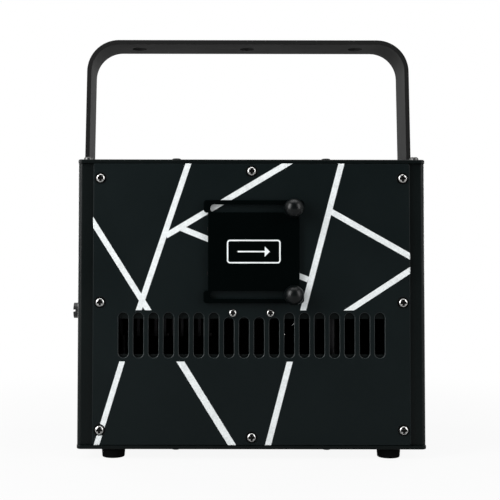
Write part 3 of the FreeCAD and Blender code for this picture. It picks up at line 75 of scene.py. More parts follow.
HOUSING = "housing"
FRONT = Vector((0, -1, 0))
REAR = Vector((0, 1, 0))
UP = Vector((0, 0, 1))
DOWN = Vector((0, 0, -1))

FRONT_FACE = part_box("front_panel")[0].y
REAR_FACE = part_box("rear_panel")[1].y
SHUTTER_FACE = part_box("shutter_plate")[0].y

# The painted stripes on the front panel: two ends as (x, z) and a width, in metres
STRIPES = (
    ((-0.1031, 0.1533), (-0.0631, 0.0900), 0.0036),
    ((-0.0479, 0.0660), (-0.0100, 0.0052), 0.0043),
    ((-0.0385, 0.1922), (-0.0728, 0.0900), 0.0036),
    ((-0.0805, 0.0660), (-0.0990, 0.0052), 0.0034),
    ((-0.0544, 0.1410), (0.0271, 0.1897), 0.0036),
    ((-0.0452, 0.1460), (0.0359, 0.1133), 0.0036),
    ((0.0586, 0.1923), (0.0094, 0.0052), 0.0037),
    ((0.0500, 0.1568), (0.1042, 0.1261), 0.0037),
    ((0.1042, 0.1216), (0.0527, 0.0880), 0.0036),
)

# The vents' band on the front panel, from its lower to its upper edge, and half its width
VENT_BAND = (0.0614, 0.0938)
VENT_REACH = 0.090

# Depths behind the front panel's face: where a vent's rounded edge starts, where the paint ends,
# and where the rounded edge ends and the sunk faces start
RIM_START = 0.00003
PRINT_REACH = 0.0005
RECESS_LIP = 0.00055

# Tones against the panel's own: a painted highlight on the vents' rounded edges and painted shade
# on the sunk faces; and the edges' gloss
RIM_HIGHLIGHT_SHARE = 1.7
SUNK_SHADE_SHARE = 0.25
RIM_GLOSS = 0.5

# The stripes' paint: sizes of its clouds and specks, the noise levels between which they fade in,
# its dullest tone, and how much rougher it is than the coat
PAINT_CLOUD = 0.006
PAINT_SPECK = 0.0011
CLOUD_LEVELS = (0.3, 0.75)
SPECK_LEVELS = (0.35, 0.65)
PAINT_DULL = 0.80
PAINT_MATT = 0.05

# How far a printed sign stands proud
PRINT_DEPTH = 0.00004

# The lighter edges of a powder coat, partly wear and partly a painted highlight: the match of the
# rounded and the plain normal on a flat face and on an edge, the noise levels between which the
# wear fades in, and how strong it is
EDGE_MATCH = (0.99, 0.75)
WEAR_LEVELS = (0.35, 0.7)
WEAR_AND_HIGHLIGHT_SHARE = 0.6

# Sizes of clouds and worn spots, in grains of the texture
COAT_CLOUD = 90
COAT_WEAR = 12
SKIN_CLOUD = 40
PLATE_CLOUD = 6

# Darkest and palest tone of a finish against its own, and that of a coat's edges, lightened for
# wear and a painted highlight
COAT_TONES = (0.85, 1.18, 2.0)
SKIN_TONES = (0.85, 1.15)
PLATE_TONES = (0.82, 1.08)
LINE_TONES = (0.85, 1.08)

# Depth of a texture as a share of its grain, and of the lines on drawn metal in metres
SKIN_RELIEF = 0.03
PLATE_RELIEF = 0.01
LINE_DEPTH = 0.000006

# Lines on drawn and milled metal: how many there are in a metre along X, Y and Z
RAIL_LINES = (30, 900, 900)
BENCH_LINES = (40, 1200, 1200)
MODULE_LINES = (1200, 40, 1200)
SUPPLY_LINES = (60, 900, 900)

# Smears on glass: their size, the noise levels between which they fade in, and their roughness
SMEAR_SIZE = 0.008
SMEAR_LEVELS = (0.45, 0.8)
SMEAR_MATT = 0.06

# How far the roughness of a finish wanders about its middle
COAT_SPREAD = 0.16
GRAIN_SPREAD = 0.10
SKIN_SPREAD = 0.12
PLATE_SPREAD = 0.22
LINE_SPREAD = 0.2

# A screw head's mesh: points around it, rows from the shank's end to the crown, the brim's row,
# the angle that shows as a crease, and a turn that keeps the recess off the crown's seams
HEAD_AROUND = 41
HEAD_ROWS = 15
HEAD_BRIM = 3
HEAD_CREASE = radians(32)
CROSS_TURN = 0.04

# The recess's painted shade: where it starts and is full, with 1 at the crown's surface and 0 at
# the middle of the seat, and its tone and roughness against the head's
RECESS_SHADE = (0.95, 0.70)
RECESS_SHADE_TONE = 0.04
RECESS_DULL = 0.4

# Points nearer than the first are one, and the recess's shade ends this far under a head's seat
WELD = 1e-6
SEAT_SLACK = 1e-5

# The display's figures, the segments that light for each, and the gap between them in line widths
DISPLAY_FIGURES = "0001"
SEGMENTS_LIT = {"0": "abcdef", "1": "bc"}
SEGMENT_GAP = 0.15

# The glow of a lit segment: the size of its clouds and its dimmest tone
GLOW_CLOUD = 0.002
GLOW_DIM = 0.7

# The signal port's contacts: how many are in the upper and the lower row, and their form
CONTACT_ROWS = {1: 13, -1: 12}
CONTACT_SIDES = 16
CONTACT_BORE = 0.55

# Pins and blades inside the sockets: half sizes, depth behind the rear face, and spacing
PIN_HALF = (0.00125, 0.0060, 0.00125)
PIN_DEPTH = 0.0092
PIN_CIRCLE = 0.0038
BLADE_HALF = (0.00105, 0.0060, 0.00205)
BLADE_DEPTH = 0.0085
BLADE_PITCH = 0.007
BLADE_RISE = 0.002

# Circuit boards: half a board's thickness, its middle plane in from its node's far side, the size
# and noise levels of its tracks, and the roughness of its fittings and of the board
BOARD_HALF = 0.0009
CONTROL_BOARD_IN = 0.0098
DRIVER_BOARD_IN = 0.0008
TRACK_SIZE = 0.0016
TRACK_LEVELS = (0.48, 0.56)
FITTING_ROUGHNESS = 0.42
BOARD_ROUGHNESS = 0.30

# Softboxes: place, width and height, and the studio value that holds the power
SOFTBOXES = {
    "left_softbox": ((-0.82, -0.58, 0.52), (0.5, 0.9), "left_power"),
    "right_softbox": ((0.84, -0.58, 0.48), (0.5, 0.9), "right_power"),
    "top_softbox": ((0.0, -0.15, 1.1), (0.9, 0.6), "top_power"),
    "rear_left_softbox": ((-0.75, 0.75, 0.45), (0.5, 0.8), "rear_power"),
    "rear_right_softbox": ((0.75, 0.75, 0.45), (0.5, 0.8), "rear_power"),
}
LAMP_AIM = Vector((0, 0, 0.13))

# Where the white backdrop starts and where it is full: by direction, and along the floor
SKY_TURN = (-0.45, 0.25)
FLOOR_TURN = (-0.10, 0.20)

# The floor's white goes up from the object outwards: two distances, then two levels
FLOOR_FADE = (0.16, 0.45, 0.92, 1.0)
FLOOR_GREY = (0.45, 0.45, 0.45, 1.0)
FLOOR_SIDES = 64
WHITE = (1.0, 1.0, 1.0, 1.0)
SENSOR_WIDTH = 36.0


def centre(node):
    low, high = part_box(node)
    return (low + high) / 2


def length(name, text, default):
    return FloatProperty(name=name, description=text, default=default, unit="LENGTH", precision=5)


def colour(name, text, default):
    return FloatVectorProperty(name=name, description=text, default=default, subtype="COLOR")


def angle(name, text, default):
    return FloatProperty(name=name, description=text, default=default, subtype="ANGLE")


def number(name, text, default, unit="NONE"):
    return FloatProperty(name=name, description=text, default=default, unit=unit)


def factor(name, text, default):
    share = {"subtype": "FACTOR", "min": 0, "max": 1}
    return FloatProperty(name=name, description=text, default=default, **share)


class ProjectorCoats(bpy.types.PropertyGroup):
    """Colours and textures of the painted, moulded and bare surfaces."""

    panel_black: colour("Panel black", "Powder coat of the front panel", (0.0031, 0.0058, 0.0062))
    sheet_black: colour("Sheet black", "Powder coat of the box", (0.0009, 0.0025, 0.0025))
    stripe_white: colour("Stripe white", "Paint of the front stripes", (0.74, 0.775, 0.78))
    yoke_grey: colour("Yoke grey", "Powder coat of the yoke", (0.011, 0.011, 0.011))
    zinc: colour("Zinc", "Plating of the screws", (0.50, 0.50, 0.49))
    moulded_black: colour("Moulded black", "Knobs, sockets and fan", (0.0045, 0.0048, 0.0050))
    rubber_black: colour("Rubber black", "Feet", (0.0012, 0.0014, 0.0016))
    alloy: colour("Alloy", "Bench, pillars and heat sink", (0.030, 0.030, 0.032))
    steel: colour("Steel", "Bare steel pieces", (0.50, 0.50, 0.51))
    brass: colour("Brass", "Bushes and standoffs", (0.76, 0.58, 0.27))
    board_green: colour("Board green", "Circuit boards", (0.012, 0.110, 0.040))
    rocker_red: colour("Rocker red", "Power rocker", (0.33, 0.014, 0.011))
    display_red: colour("Display red", "Tinted display window", (0.050, 0.004, 0.004))
    glow_red: colour("Glow red", "Lit segments of the display", (1.0, 0.05, 0.03))
    window_tint: colour("Window tint", "Glass behind the aperture", (0.92, 0.97, 0.96))
    filter_tint: colour("Filter tint", "Glass of the combining filters", (0.72, 0.80, 0.95))
    mirror_silver: colour("Mirror silver", "Scan mirrors", (0.90, 0.91, 0.93))
    stripe_edge: length("Stripe edge", "Soft edge of the paint", 0.00025)
    coat_grain: length("Coat grain", "Size of the powder coat's texture", 0.00055)
    coat_depth: length("Coat depth", "Depth of the powder coat's texture", 0.00003)
    edge_round: length("Edge rounding", "Radius that softens a folded edge", 0.0004)
    coat_roughness: factor("Coat roughness", "Sheen of the powder coat", 0.38)
    coat_gloss: factor("Coat gloss", "Reflection of the powder coat", 0.13)
    panel_gloss: factor("Panel gloss", "Reflection of the front panel's coat", 0.11)
    shutter_gloss: factor("Shutter gloss", "Reflection of the shutter's coat", 0.013)
    yoke_gloss: factor("Yoke gloss", "Reflection of the yoke's coat", 0.025)
    yoke_roughness: factor("Yoke roughness", "Sheen of the yoke's coat", 0.58)


class ProjectorScrews(bpy.types.PropertyGroup):
    """Sizes of the screw heads."""

    pan_radius: length("Pan head radius", "Radius of a pan head", 0.0029)
    pan_height: length("Pan head height", "Height of a pan head", 0.0022)
    small_radius: length("Small head radius", "Radius of a small pan head", 0.0024)
    small_height: length("Small head height", "Height of a small pan head", 0.0016)
    low_radius: length("Low head radius", "Radius of a low head", 0.0030)
    low_height: length("Low head height", "Height of a low head", 0.0012)
    flush_radius: length("Flush head radius", "Radius of a countersunk head", 0.0024)
    flush_height: length("Flush head height", "Crown of a countersunk head", 0.0003)
    shank_radius: length("Shank radius", "Radius of the shank", 0.00115)
    shank_length: length("Shank length", "Length of the shank below the head", 0.0030)
    recess_reach_share: factor("Recess reach", "Cross recess as a share of the head radius", 0.68)
    recess_width_share: factor("Recess width", "Its arm as a share of the head radius", 0.54)
    recess_depth_share: factor("Recess depth", "Its depth as a share of the head height", 0.75)
    crown_power: number("Crown power", "Squareness of the head's crown", 0.62)
    seed: IntProperty(name="Seed", description="Turns each screw differently", default=7)


class ProjectorStudio(bpy.types.PropertyGroup):
    """Camera, lamps and floor."""

    camera_distance: length("Camera distance", "From the front panel to the camera", 0.6340)
    camera_side: length("Camera side", "Camera to the right of the middle", -0.0244)
    camera_height: length("Camera height", "Camera above the floor", 0.1284)
    camera_pitch: angle("Camera pitch", "Upward tilt of the camera", 0.0342)
    camera_roll: angle("Camera roll", "Sideways tilt of the camera", 0.0015)
    lens: number("Lens", "Focal length", 71.84, "CAMERA")
    shift_x: number("Shift X", "Sideways framing", 0.0736)
    shift_y: number("Shift Y", "Upward framing", -0.0570)
    left_power: number("Left lamp", "Left softbox", 15.0, "POWER")
    right_power: number("Right lamp", "Right softbox", 7.0, "POWER")
    top_power: number("Top lamp", "Overhead softbox", 4.5, "POWER")
    rear_power: number("Rear lamps", "Each rear softbox", 8.0, "POWER")
    fill: factor("Fill", "Light from all round", 0.10)
    room_dark: factor("Dark side", "What a gloss sees of the room before the backdrop", 0.08)
    floor_radius: length("Floor radius", "Size of the floor", 2.0)


def joined(operation, swapped=False):
    """A method that joins a wire and another value by a Math node."""

    def join(wire, other):
        pair = (other, wire) if swapped else (wire, other)
        return wire.graph.node("ShaderNodeMath", {"operation": operation}, dict(enumerate(pair)))

    return join


def changed(operation):
    """A method that changes a wire's value by a Math node."""
    return lambda wire: wire.graph.node("ShaderNodeMath", {"operation": operation}, {0: wire})


class Wire:
    """A node's output that takes part in sums: each operator adds a Math node."""

    __add__ = __radd__ = joined("ADD")
    __mul__ = __rmul__ = joined("MULTIPLY")
    __sub__ = joined("SUBTRACT")
    __rsub__ = joined("SUBTRACT", swapped=True)
    __truediv__ = joined("DIVIDE")
    __rtruediv__ = joined("DIVIDE", swapped=True)
    __pow__ = joined("POWER")
    __abs__ = changed("ABSOLUTE")
    at_least = joined("MAXIMUM")
    at_most = joined("MINIMUM")
    below = joined("LESS_THAN")
    above = joined("GREATER_THAN")
    sine = changed("SINE")
    cosine = changed("COSINE")

    def __init__(self, graph, socket):
        self.graph = graph
        self.socket = socket

    def ramp(self, low, high, start=0.0, end=1.0):
        """Goes smoothly from start to end as the value goes from low to high."""
        values = {"Value": self, "From Min": low, "From Max": high, "To Min": start, "To Max": end}
        return self.graph.node("ShaderNodeMapRange", {"interpolation_type": "SMOOTHSTEP"}, values)


class Graph:
    """A node tree and the one method that adds a node to it."""

    def __init__(self, tree):
        self.tree = tree

    def node(self, kind, settings=None, sockets=None, out=0):
        made = self.tree.nodes.new(kind)
        for key, value in (settings or {}).items():
            setattr(made, key, value)
        for key, value in (sockets or {}).items():
            self.feed(self.find(made.inputs, key), value)
        return Wire(self, self.find(made.outputs, out)) if len(made.outputs) else None

    def find(self, sockets, key):
        if isinstance(key, int):
            return sockets[key]
        for socket in sockets:
            if key in (socket.identifier, socket.name) and socket.enabled:
                return socket
        raise KeyError(key)

    def feed(self, socket, value):
        for item in value if isinstance(value, list) else [value]:
            if isinstance(item, Wire):
                self.tree.links.new(item.socket, socket)
            else:
                socket.default_value = item

    def outputs(self, wire):
        """All outputs of the node that a wire comes from, by name."""
        return {socket.name: Wire(self, socket) for socket in wire.socket.node.outputs}

    def split(self, vector):
        parts = self.node("ShaderNodeSeparateXYZ", None, {0: vector})
        return list(self.outputs(parts).values())

    def vector(self, x=0.0, y=0.0, z=0.0):
        return self.node("ShaderNodeCombineXYZ", None, {0: x, 1: y, 2: z})


class Finish(Graph):
    """One material, made of nodes that read the piece's own coordinates."""

    def __init__(self, name, sockets):
        self.material = bpy.data.materials.new(name)
        self.material.use_nodes = True
        super().__init__(self.material.node_tree)
        self.shader = self.tree.nodes["Principled BSDF"]
        self.set(sockets)

    def set(self, sockets):
        for key, value in sockets.items():
            if key.endswith(("Color", "Tint")) and not isinstance(value, Wire):
                value = (*value, 1.0)
            self.feed(self.find(self.shader.inputs, key), value)
        return self

    def linked(self, key):
        """What already feeds one of the shader's sockets."""
        return Wire(self, self.shader.inputs[key].links[0].from_socket)

    def place(self):
        return self.node("ShaderNodeTexCoord", out="Object")

    def noise(self, size, detail=2.0):
        sockets = {"Vector": self.place(), "Scale": 1 / size, "Detail": detail}
        return self.node("ShaderNodeTexNoise", None, sockets)

    def blend(self, mask, low, high):
        """A colour that goes from low to high with the mask."""
        sockets = {"Factor_Float": mask}
        for key, value in (("A_Color", low), ("B_Color", high)):
            sockets[key] = value if isinstance(value, Wire) else (*value, 1.0)
        return self.node("ShaderNodeMix", {"data_type": "RGBA"}, sockets, "Result_Color")

    def bump(self, height, depth, normal=None):
        sockets = {"Height": height, "Distance": depth, "Strength": 1.0}
        if normal is not None:
            sockets["Normal"] = normal
        return self.node("ShaderNodeBump", None, sockets)

    def rounded(self, radius):
        return self.node("ShaderNodeBevel", {"samples": 4}, {"Radius": radius})

    def edges(self, normal):
        """One along a sharp edge and zero on a flat face."""
        face = self.node("ShaderNodeNewGeometry", out="Normal")
        dot = {"operation": "DOT_PRODUCT"}
        match = self.node("ShaderNodeVectorMath", dot, {0: normal, 1: face}, "Value")
        return match.ramp(*EDGE_MATCH)

    def box_mask(self, middle, half):
        """One inside a box, zero outside it."""
        mask = None
        for wire, at, reach in zip(self.split(self.place()), middle, half):
            inside = abs(wire - at).below(reach)
            mask = inside if mask is None else mask * inside
        return mask


def shade(tone, share):
    return tuple(min(1.0, value * share) for value in tone)


def shades(tone, shares):
    return [shade(tone, share) for share in shares]


def powder_coat(name, tone, coats, roughness=None, gloss=None):
    """Fine-textured paint on folded sheet; its edges lighter for wear and a painted highlight."""
    finish = Finish(name, {"Specular IOR Level": coats.coat_gloss if gloss is None else gloss})
    sheen = coats.coat_roughness if roughness is None else roughness
    grain = finish.noise(coats.coat_grain, detail=3.0)
    cloud = finish.noise(coats.coat_grain * COAT_CLOUD)
    soft = finish.rounded(coats.edge_round)
    spots = finish.noise(coats.coat_grain * COAT_WEAR).ramp(*WEAR_LEVELS)
    # Wear and painted highlight: patchy spots along every edge are made lighter
    wear_and_highlight = finish.edges(soft) * spots * WEAR_AND_HIGHLIGHT_SHARE
    dark, pale, lighter_edge = shades(tone, COAT_TONES)
    looks = {
        "Base Color": finish.blend(wear_and_highlight, finish.blend(cloud, dark, pale), lighter_edge),
        "Roughness": sheen + (cloud - 0.5) * COAT_SPREAD + (grain - 0.5) * GRAIN_SPREAD,
        "Normal": finish.bump(grain, coats.coat_depth, soft),
    }
    return finish.set(looks)


def vent_height(z):
    """One at the height of the vents, zero above and below them."""
    low, high = VENT_BAND
    return z.above(low) * z.below(high)


def stripe_mask(finish, coats):
    """Where the front panel's stripes are: clear of the vents and only on its face."""
    x, y, z = finish.split(finish.place())
    soft = coats.stripe_edge
    mask = None
    for (x0, z0), (x1, z1), width in STRIPES:
        half = width / 2
        run = Vector((x1 - x0, z1 - z0))
        along = run.normalized()
        off = abs((x - x0) * -along.y + (z - z0) * along.x)
        on = (x - x0) * along.x + (z - z0) * along.y
        stripe = off.ramp(half + soft / 2, half - soft / 2) * on.above(0.0) * on.below(run.length)
        mask = stripe if mask is None else mask.at_least(stripe)
    return mask * (1 - vent_height(z)) * y.below(FRONT_FACE + PRINT_REACH)


def vent_rims(finish):
    """The rounded edges of the vents, which get a painted highlight and a glossier coat."""
    x, y, z = finish.split(finish.place())
    vents = vent_height(z) * abs(x).below(VENT_REACH)
    return vents * y.above(FRONT_FACE + RIM_START) * y.below(FRONT_FACE + RECESS_LIP)


def printed_coat(name, tone, coats):
    """The front panel's powder coat with white stripes printed over it."""
    finish = powder_coat(name, tone, coats, gloss=coats.panel_gloss)
    paint = stripe_mask(finish, coats)
    mottle = finish.noise(PAINT_CLOUD, detail=4.0).ramp(*CLOUD_LEVELS)
    speck = finish.noise(PAINT_SPECK).ramp(*SPECK_LEVELS)
    dull = shade(coats.stripe_white, PAINT_DULL)
    white = finish.blend((mottle + speck) * 0.5, coats.stripe_white, dull)
    # Painted shade: the faces set back from the panel's face are darkened
    sunk = finish.split(finish.place())[1].above(FRONT_FACE + RECESS_LIP)
    coat = finish.blend(sunk, finish.linked("Base Color"), shade(tone, SUNK_SHADE_SHARE))
    # Painted highlight: the vents' rounded edges are lightened, and their coat is glossier
    lighter_edge = vent_rims(finish)
    coat = finish.blend(lighter_edge, coat, shade(tone, RIM_HIGHLIGHT_SHARE))
    looks = {
        "Base Color": finish.blend(paint * (1 - sunk), coat, white),
        "Roughness": finish.linked("Roughness") + paint * PAINT_MATT,
        "Coat Weight": lighter_edge * RIM_GLOSS,
        "Coat Roughness": coats.coat_roughness,
    }
    return finish.set(looks)


def moulded(name, tone, roughness, grain=0.0004, gloss=0.5):
    """Moulded plastic or rubber with a fine skin."""
    finish = Finish(name, {"Specular IOR Level": gloss})
    cloud = finish.noise(grain * SKIN_CLOUD)
    looks = {
        "Base Color": finish.blend(cloud, *shades(tone, SKIN_TONES)),
        "Roughness": roughness + (cloud - 0.5) * SKIN_SPREAD,
        "Normal": finish.bump(finish.noise(grain), grain * SKIN_RELIEF),
    }
    return finish.set(looks)


def plated(name, tone, roughness, grain=0.0005):
    """Bare or plated metal with a faint haze."""
    finish = Finish(name, {"Metallic": 1.0})
    haze = finish.noise(grain * PLATE_CLOUD, detail=3.0)
    looks = {
        "Base Color": finish.blend(haze, *shades(tone, PLATE_TONES)),
        "Roughness": roughness + (haze - 0.5) * PLATE_SPREAD,
        "Normal": finish.bump(finish.noise(grain), grain * PLATE_RELIEF),
    }
    return finish.set(looks)


def screw_plate(name, tone, roughness):
    """Plating with painted shade, dark and dull down in a screw's recess."""
    finish = plated(name, tone, roughness)
    shaded_recess = finish.node("ShaderNodeAttribute", {"attribute_name": "recess"}, None, "Fac")
    looks = {
        "Base Color": finish.blend(shaded_recess, finish.linked("Base Color"), shade(tone, RECESS_SHADE_TONE)),
        "Roughness": finish.linked("Roughness") + shaded_recess * RECESS_DULL,
    }
    return finish.set(looks)


def drawn(name, tone, roughness, lines):
    """Milled or drawn metal: lines gives how many there are in a metre along each axis."""
    finish = Finish(name, {"Metallic": 1.0})
    sockets = {"Vector": finish.place(), "Scale": lines}
    spot = finish.node("ShaderNodeMapping", {"vector_type": "POINT"}, sockets)
    sockets = {"Vector": spot, "Scale": 1.0, "Detail": 3.0}
    grain = finish.node("ShaderNodeTexNoise", None, sockets)
    looks = {
        "Base Color": finish.blend(grain, *shades(tone, LINE_TONES)),
        "Roughness": roughness + (grain - 0.5) * LINE_SPREAD,
        "Normal": finish.bump(grain, LINE_DEPTH),
    }
    return finish.set(looks)


def clear_glass(name, tone):
    """Clear or tinted glass with a few smears."""
    finish = Finish(name, {"Base Color": tone, "Transmission Weight": 1.0, "IOR": 1.5})
    smear = finish.noise(SMEAR_SIZE, detail=3.0).ramp(*SMEAR_LEVELS, 0.0, SMEAR_MATT)
    return finish.set({"Roughness": smear})


def dress(finish, *nodes):
    """Give CAD nodes a finish."""
    for node in nodes:
        materials = frame["nodes"][node].data.materials
        materials.clear()
        materials.append(finish.material)


def new_piece(name, mesh, finish, body):
    """A finished mesh as a piece that rides on a body."""
    mesh.materials.clear()
    mesh.materials.append(finish.material)
    piece = bpy.data.objects.new(name, mesh)
    bpy.context.scene.collection.objects.link(piece)
    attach(piece, body)
    return piece


def islands(node):
    """The (lowest, highest) corners of each separate solid in a CAD node."""
    mesh = bmesh.new()
    mesh.from_mesh(frame["nodes"][node].data)
    bmesh.ops.remove_doubles(mesh, verts=mesh.verts, dist=WELD)
    left = set(mesh.verts)
    boxes = []
    while left:
        group = set()
        edge = [left.pop()]
        while edge:
            vert = edge.pop()
            group.add(vert)
            for link in vert.link_edges:
                other = link.other_vert(vert)
                if other in left:
                    left.remove(other)
                    edge.append(other)
        low = Vector(min(v.co[i] for v in group) for i in range(3))
        high = Vector(max(v.co[i] for v in group) for i in range(3))
        boxes.append((low, high))
    mesh.free()
    return sorted(boxes, key=lambda box: tuple(round(c, 5) for c in box[0]))


def placing_tree(name, sizes, shape):
    """A tree that sets a shape on each point, facing the point's aim, and its inputs by name."""
    tree = bpy.data.node_groups.new(name, "GeometryNodeTree")
    kinds = {"Places": "NodeSocketGeometry", **dict.fromkeys(sizes, "NodeSocketFloat")}
    kinds |= {"Spin": "NodeSocketFloat", "Seed": "NodeSocketInt", "Metal": "NodeSocketMaterial"}
    inputs = {}
    for key, kind in kinds.items():
        socket = tree.interface.new_socket(name=key, in_out="INPUT", socket_type=kind)
        inputs[key] = socket.identifier
    tree.interface.new_socket(name="Made", in_out="OUTPUT", socket_type="NodeSocketGeometry")
    graph = Graph(tree)
    given = graph.outputs(graph.node("NodeGroupInput"))

    named = {"data_type": "FLOAT_VECTOR"}
    aim = graph.node("GeometryNodeInputNamedAttribute", named, {"Name": "aim"})
    facing = graph.node("FunctionNodeAlignRotationToVector", {"axis": "Z"}, {"Vector": aim})
    sockets = {"Max": given["Spin"], "Seed": given["Seed"]}
    spin = graph.node("FunctionNodeRandomValue", {"data_type": "FLOAT"}, sockets)
    sockets = {"Axis": (0.0, 0.0, 1.0), "Angle": spin}
    spin = graph.node("FunctionNodeAxisAngleToRotation", None, sockets)
    sockets = {"Rotation": facing, "Rotate By": spin}
    facing = graph.node("FunctionNodeRotateRotation", {"rotation_space": "LOCAL"}, sockets)

    sockets = {"Points": given["Places"], "Instance": shape(graph, given), "Rotation": facing}
    made = graph.node("GeometryNodeInstanceOnPoints", None, sockets)
    made = graph.node("GeometryNodeRealizeInstances", None, {"Geometry": made})
    sockets = {"Geometry": made, "Material": given["Metal"]}
    made = graph.node("GeometryNodeSetMaterial", None, sockets)
    graph.node("NodeGroupOutput", None, {"Made": made})
    return tree, inputs


def cross_head(graph, given):
    """A crowned head with a cross recess and a stub of its shank, turned about Z."""
    grid = {"Size X": 1.0, "Size Y": 1.0, "Vertices X": HEAD_AROUND, "Vertices Y": HEAD_ROWS}
    sheet = graph.node("GeometryNodeMeshGrid", None, grid, "Mesh")
    across, up, _ = graph.split(graph.node("GeometryNodeInputPosition"))
    # Row 0 is the middle of the shank's end, 1 its rim, 2 the shank's top, and the crown starts
    # at the brim's row
    around = (across + 0.5) * tau
    level = (up + 0.5) * (HEAD_ROWS - 1)
    swing = (level - HEAD_BRIM).at_least(0.0) * (pi / 2 / (HEAD_ROWS - 1 - HEAD_BRIM))
    power, shank = given["Crown Power"], given["Shank Radius"]
    rim = swing.cosine().at_least(0.0) ** power * given["Head Radius"]
    reach = level.above(0.5) * (shank + level.above(HEAD_BRIM - 0.5) * (rim - shank))
    height = swing.sine().at_least(0.0) ** power * given["Head Height"]
    height = height - level.below(1.5) * given["Shank Length"]
    spot = graph.vector(reach * around.cosine(), reach * around.sine(), height)
    head = graph.node("GeometryNodeSetPosition", None, {"Geometry": sheet, "Position": spot})
    head = graph.node("GeometryNodeMergeByDistance", None, {"Geometry": head, "Distance": WELD})

    arm = graph.vector(given["Recess Reach"] * 2, given["Recess Width"], given["Recess Depth"] * 2)
    bar = graph.node("GeometryNodeMeshCube", None, {"Size": arm}, "Mesh")
    top = graph.vector(z=given["Head Height"])
    bars = []
    for turn in (CROSS_TURN, CROSS_TURN + pi / 2):
        sockets = {"Geometry": bar, "Translation": top, "Rotation": (0.0, 0.0, turn)}
        bars.append(graph.node("GeometryNodeTransform", None, sockets))
    cut = {"operation": "DIFFERENCE", "solver": "MANIFOLD"}
    head = graph.node("GeometryNodeMeshBoolean", cut, {"Mesh 1": head, "Mesh 2": bars}, "Mesh")

    # The recess's painted shade: a mask stored on the head's points, which its finish darkens
    x, y, z = graph.split(graph.node("GeometryNodeInputPosition"))
    out = ((x * x + y * y) ** 0.5 / given["Head Radius"]) ** (2 / power)
    crown = out + (z.at_least(0.0) / given["Head Height"]) ** (2 / power)
    shaded_recess = crown.ramp(*RECESS_SHADE) * z.above(-SEAT_SLACK)
    stored = {"data_type": "FLOAT", "domain": "POINT"}
    sockets = {"Geometry": head, "Name": "recess", "Value": shaded_recess}
    head = graph.node("GeometryNodeStoreNamedAttribute", stored, sockets)

    head = graph.node("GeometryNodeSetShadeSmooth", {"domain": "FACE"}, {"Geometry": head})
    sharp = graph.node("GeometryNodeInputMeshEdgeAngle", out="Unsigned Angle").above(HEAD_CREASE)
    sockets = {"Geometry": head, "Selection": sharp, "Shade Smooth": False}
    return graph.node("GeometryNodeSetShadeSmooth", {"domain": "EDGE"}, sockets)


def bored_rim(graph, given):
    """A short bored contact that stands on its seat."""
    radius, height = given["Outer Radius"], given["Height"]
    rounds = []
    for reach, depth in ((radius, height), (radius * given["Bore Share"], height * 3)):
        sockets = {"Vertices": CONTACT_SIDES, "Radius": reach, "Depth": depth}
        rounds.append(graph.node("GeometryNodeMeshCylinder", None, sockets, "Mesh"))
    sockets = {"Mesh 1": rounds[0], "Mesh 2": rounds[1]}
    rim = graph.node("GeometryNodeMeshBoolean", {"operation": "DIFFERENCE"}, sockets, "Mesh")
    sockets = {"Geometry": rim, "Translation": graph.vector(z=height * 0.5)}
    return graph.node("GeometryNodeTransform", None, sockets)


def baked(name, places, tree, inputs, values):
    """The plain mesh that a placing tree makes of places, each a spot and the way it faces."""
    mesh = bpy.data.meshes.new(name + "_places")
    mesh.from_pydata([tuple(at) for at, _ in places], [], [])
    aims = mesh.attributes.new("aim", "FLOAT_VECTOR", "POINT")
    for value, (_, aim) in zip(aims.data, places):
        value.vector = aim
    source = bpy.data.objects.new(name + "_source", mesh)
    bpy.context.scene.collection.objects.link(source)
    modifier = source.modifiers.new("nodes", "NODES")
    modifier.node_group = tree
    for key, value in values.items():
        modifier[inputs[key]] = value
    graph = bpy.context.evaluated_depsgraph_get()
    result = bpy.data.meshes.new_from_object(source.evaluated_get(graph))
    result.name = name
    source.modifiers.remove(modifier)
    bpy.data.objects.remove(source)
    bpy.data.meshes.remove(mesh)
    return result


def upright(at):
    """Screws above the middle of the box face up, and those below it face down."""
    return UP if at.z > centre("front_panel").z else DOWN


def screw_places(node, aim, height):
    """Where each screw's head sits and which way it faces, up or down where no aim is given."""
    places = []
    for low, high in islands(node):
        middle = (low + high) / 2
        facing = upright(middle) if aim is None else aim
        top = max(low.dot(facing), high.dot(facing))
        places.append((middle + facing * (top - height - middle.dot(facing)), facing))
    return places


def flat_plate(outlines, y, facing):
    """A thin plate on the face at y, from outlines as (x, z) that share corners."""
    mesh = bmesh.new()
    corners = {}
    faces = []
    for outline in outlines:
        spots = [(round(x, 7), round(z, 7)) for x, z in outline]
        for x, z in spots:
            if (x, z) not in corners:
                corners[x, z] = mesh.verts.new((x, y, z))
        faces.append(mesh.faces.new([corners[spot] for spot in spots]))
    made = bmesh.ops.extrude_face_region(mesh, geom=faces)
    moved = [g for g in made["geom"] if isinstance(g, bmesh.types.BMVert)]
    bmesh.ops.translate(mesh, verts=moved, vec=facing * PRINT_DEPTH)
    bmesh.ops.recalc_face_normals(mesh, faces=mesh.faces)
    return mesh


def printed(name, plates, finish, body=HOUSING):
    """Thin plates joined into one piece."""
    whole = bmesh.new()
    for plate in plates:
        single = bpy.data.meshes.new("plate")
        plate.to_mesh(single)
        plate.free()
        whole.from_mesh(single)
        bpy.data.meshes.remove(single)
    mesh = bpy.data.meshes.new(name)
    whole.to_mesh(mesh)
    whole.free()
    new_piece(name, mesh, finish, body)


def arc(x, z, radius, start, end, steps=6):
    turns = [start + (end - start) * i / steps for i in range(steps + 1)]
    return [(x + radius * cos(t), z + radius * sin(t)) for t in turns]


def band(outer, inner):
    """Quads between two closed outlines with as many points."""
    count = len(outer)
    pairs = [(i, (i + 1) % count) for i in range(count)]
    return [[outer[i], outer[j], inner[j], inner[i]] for i, j in pairs]


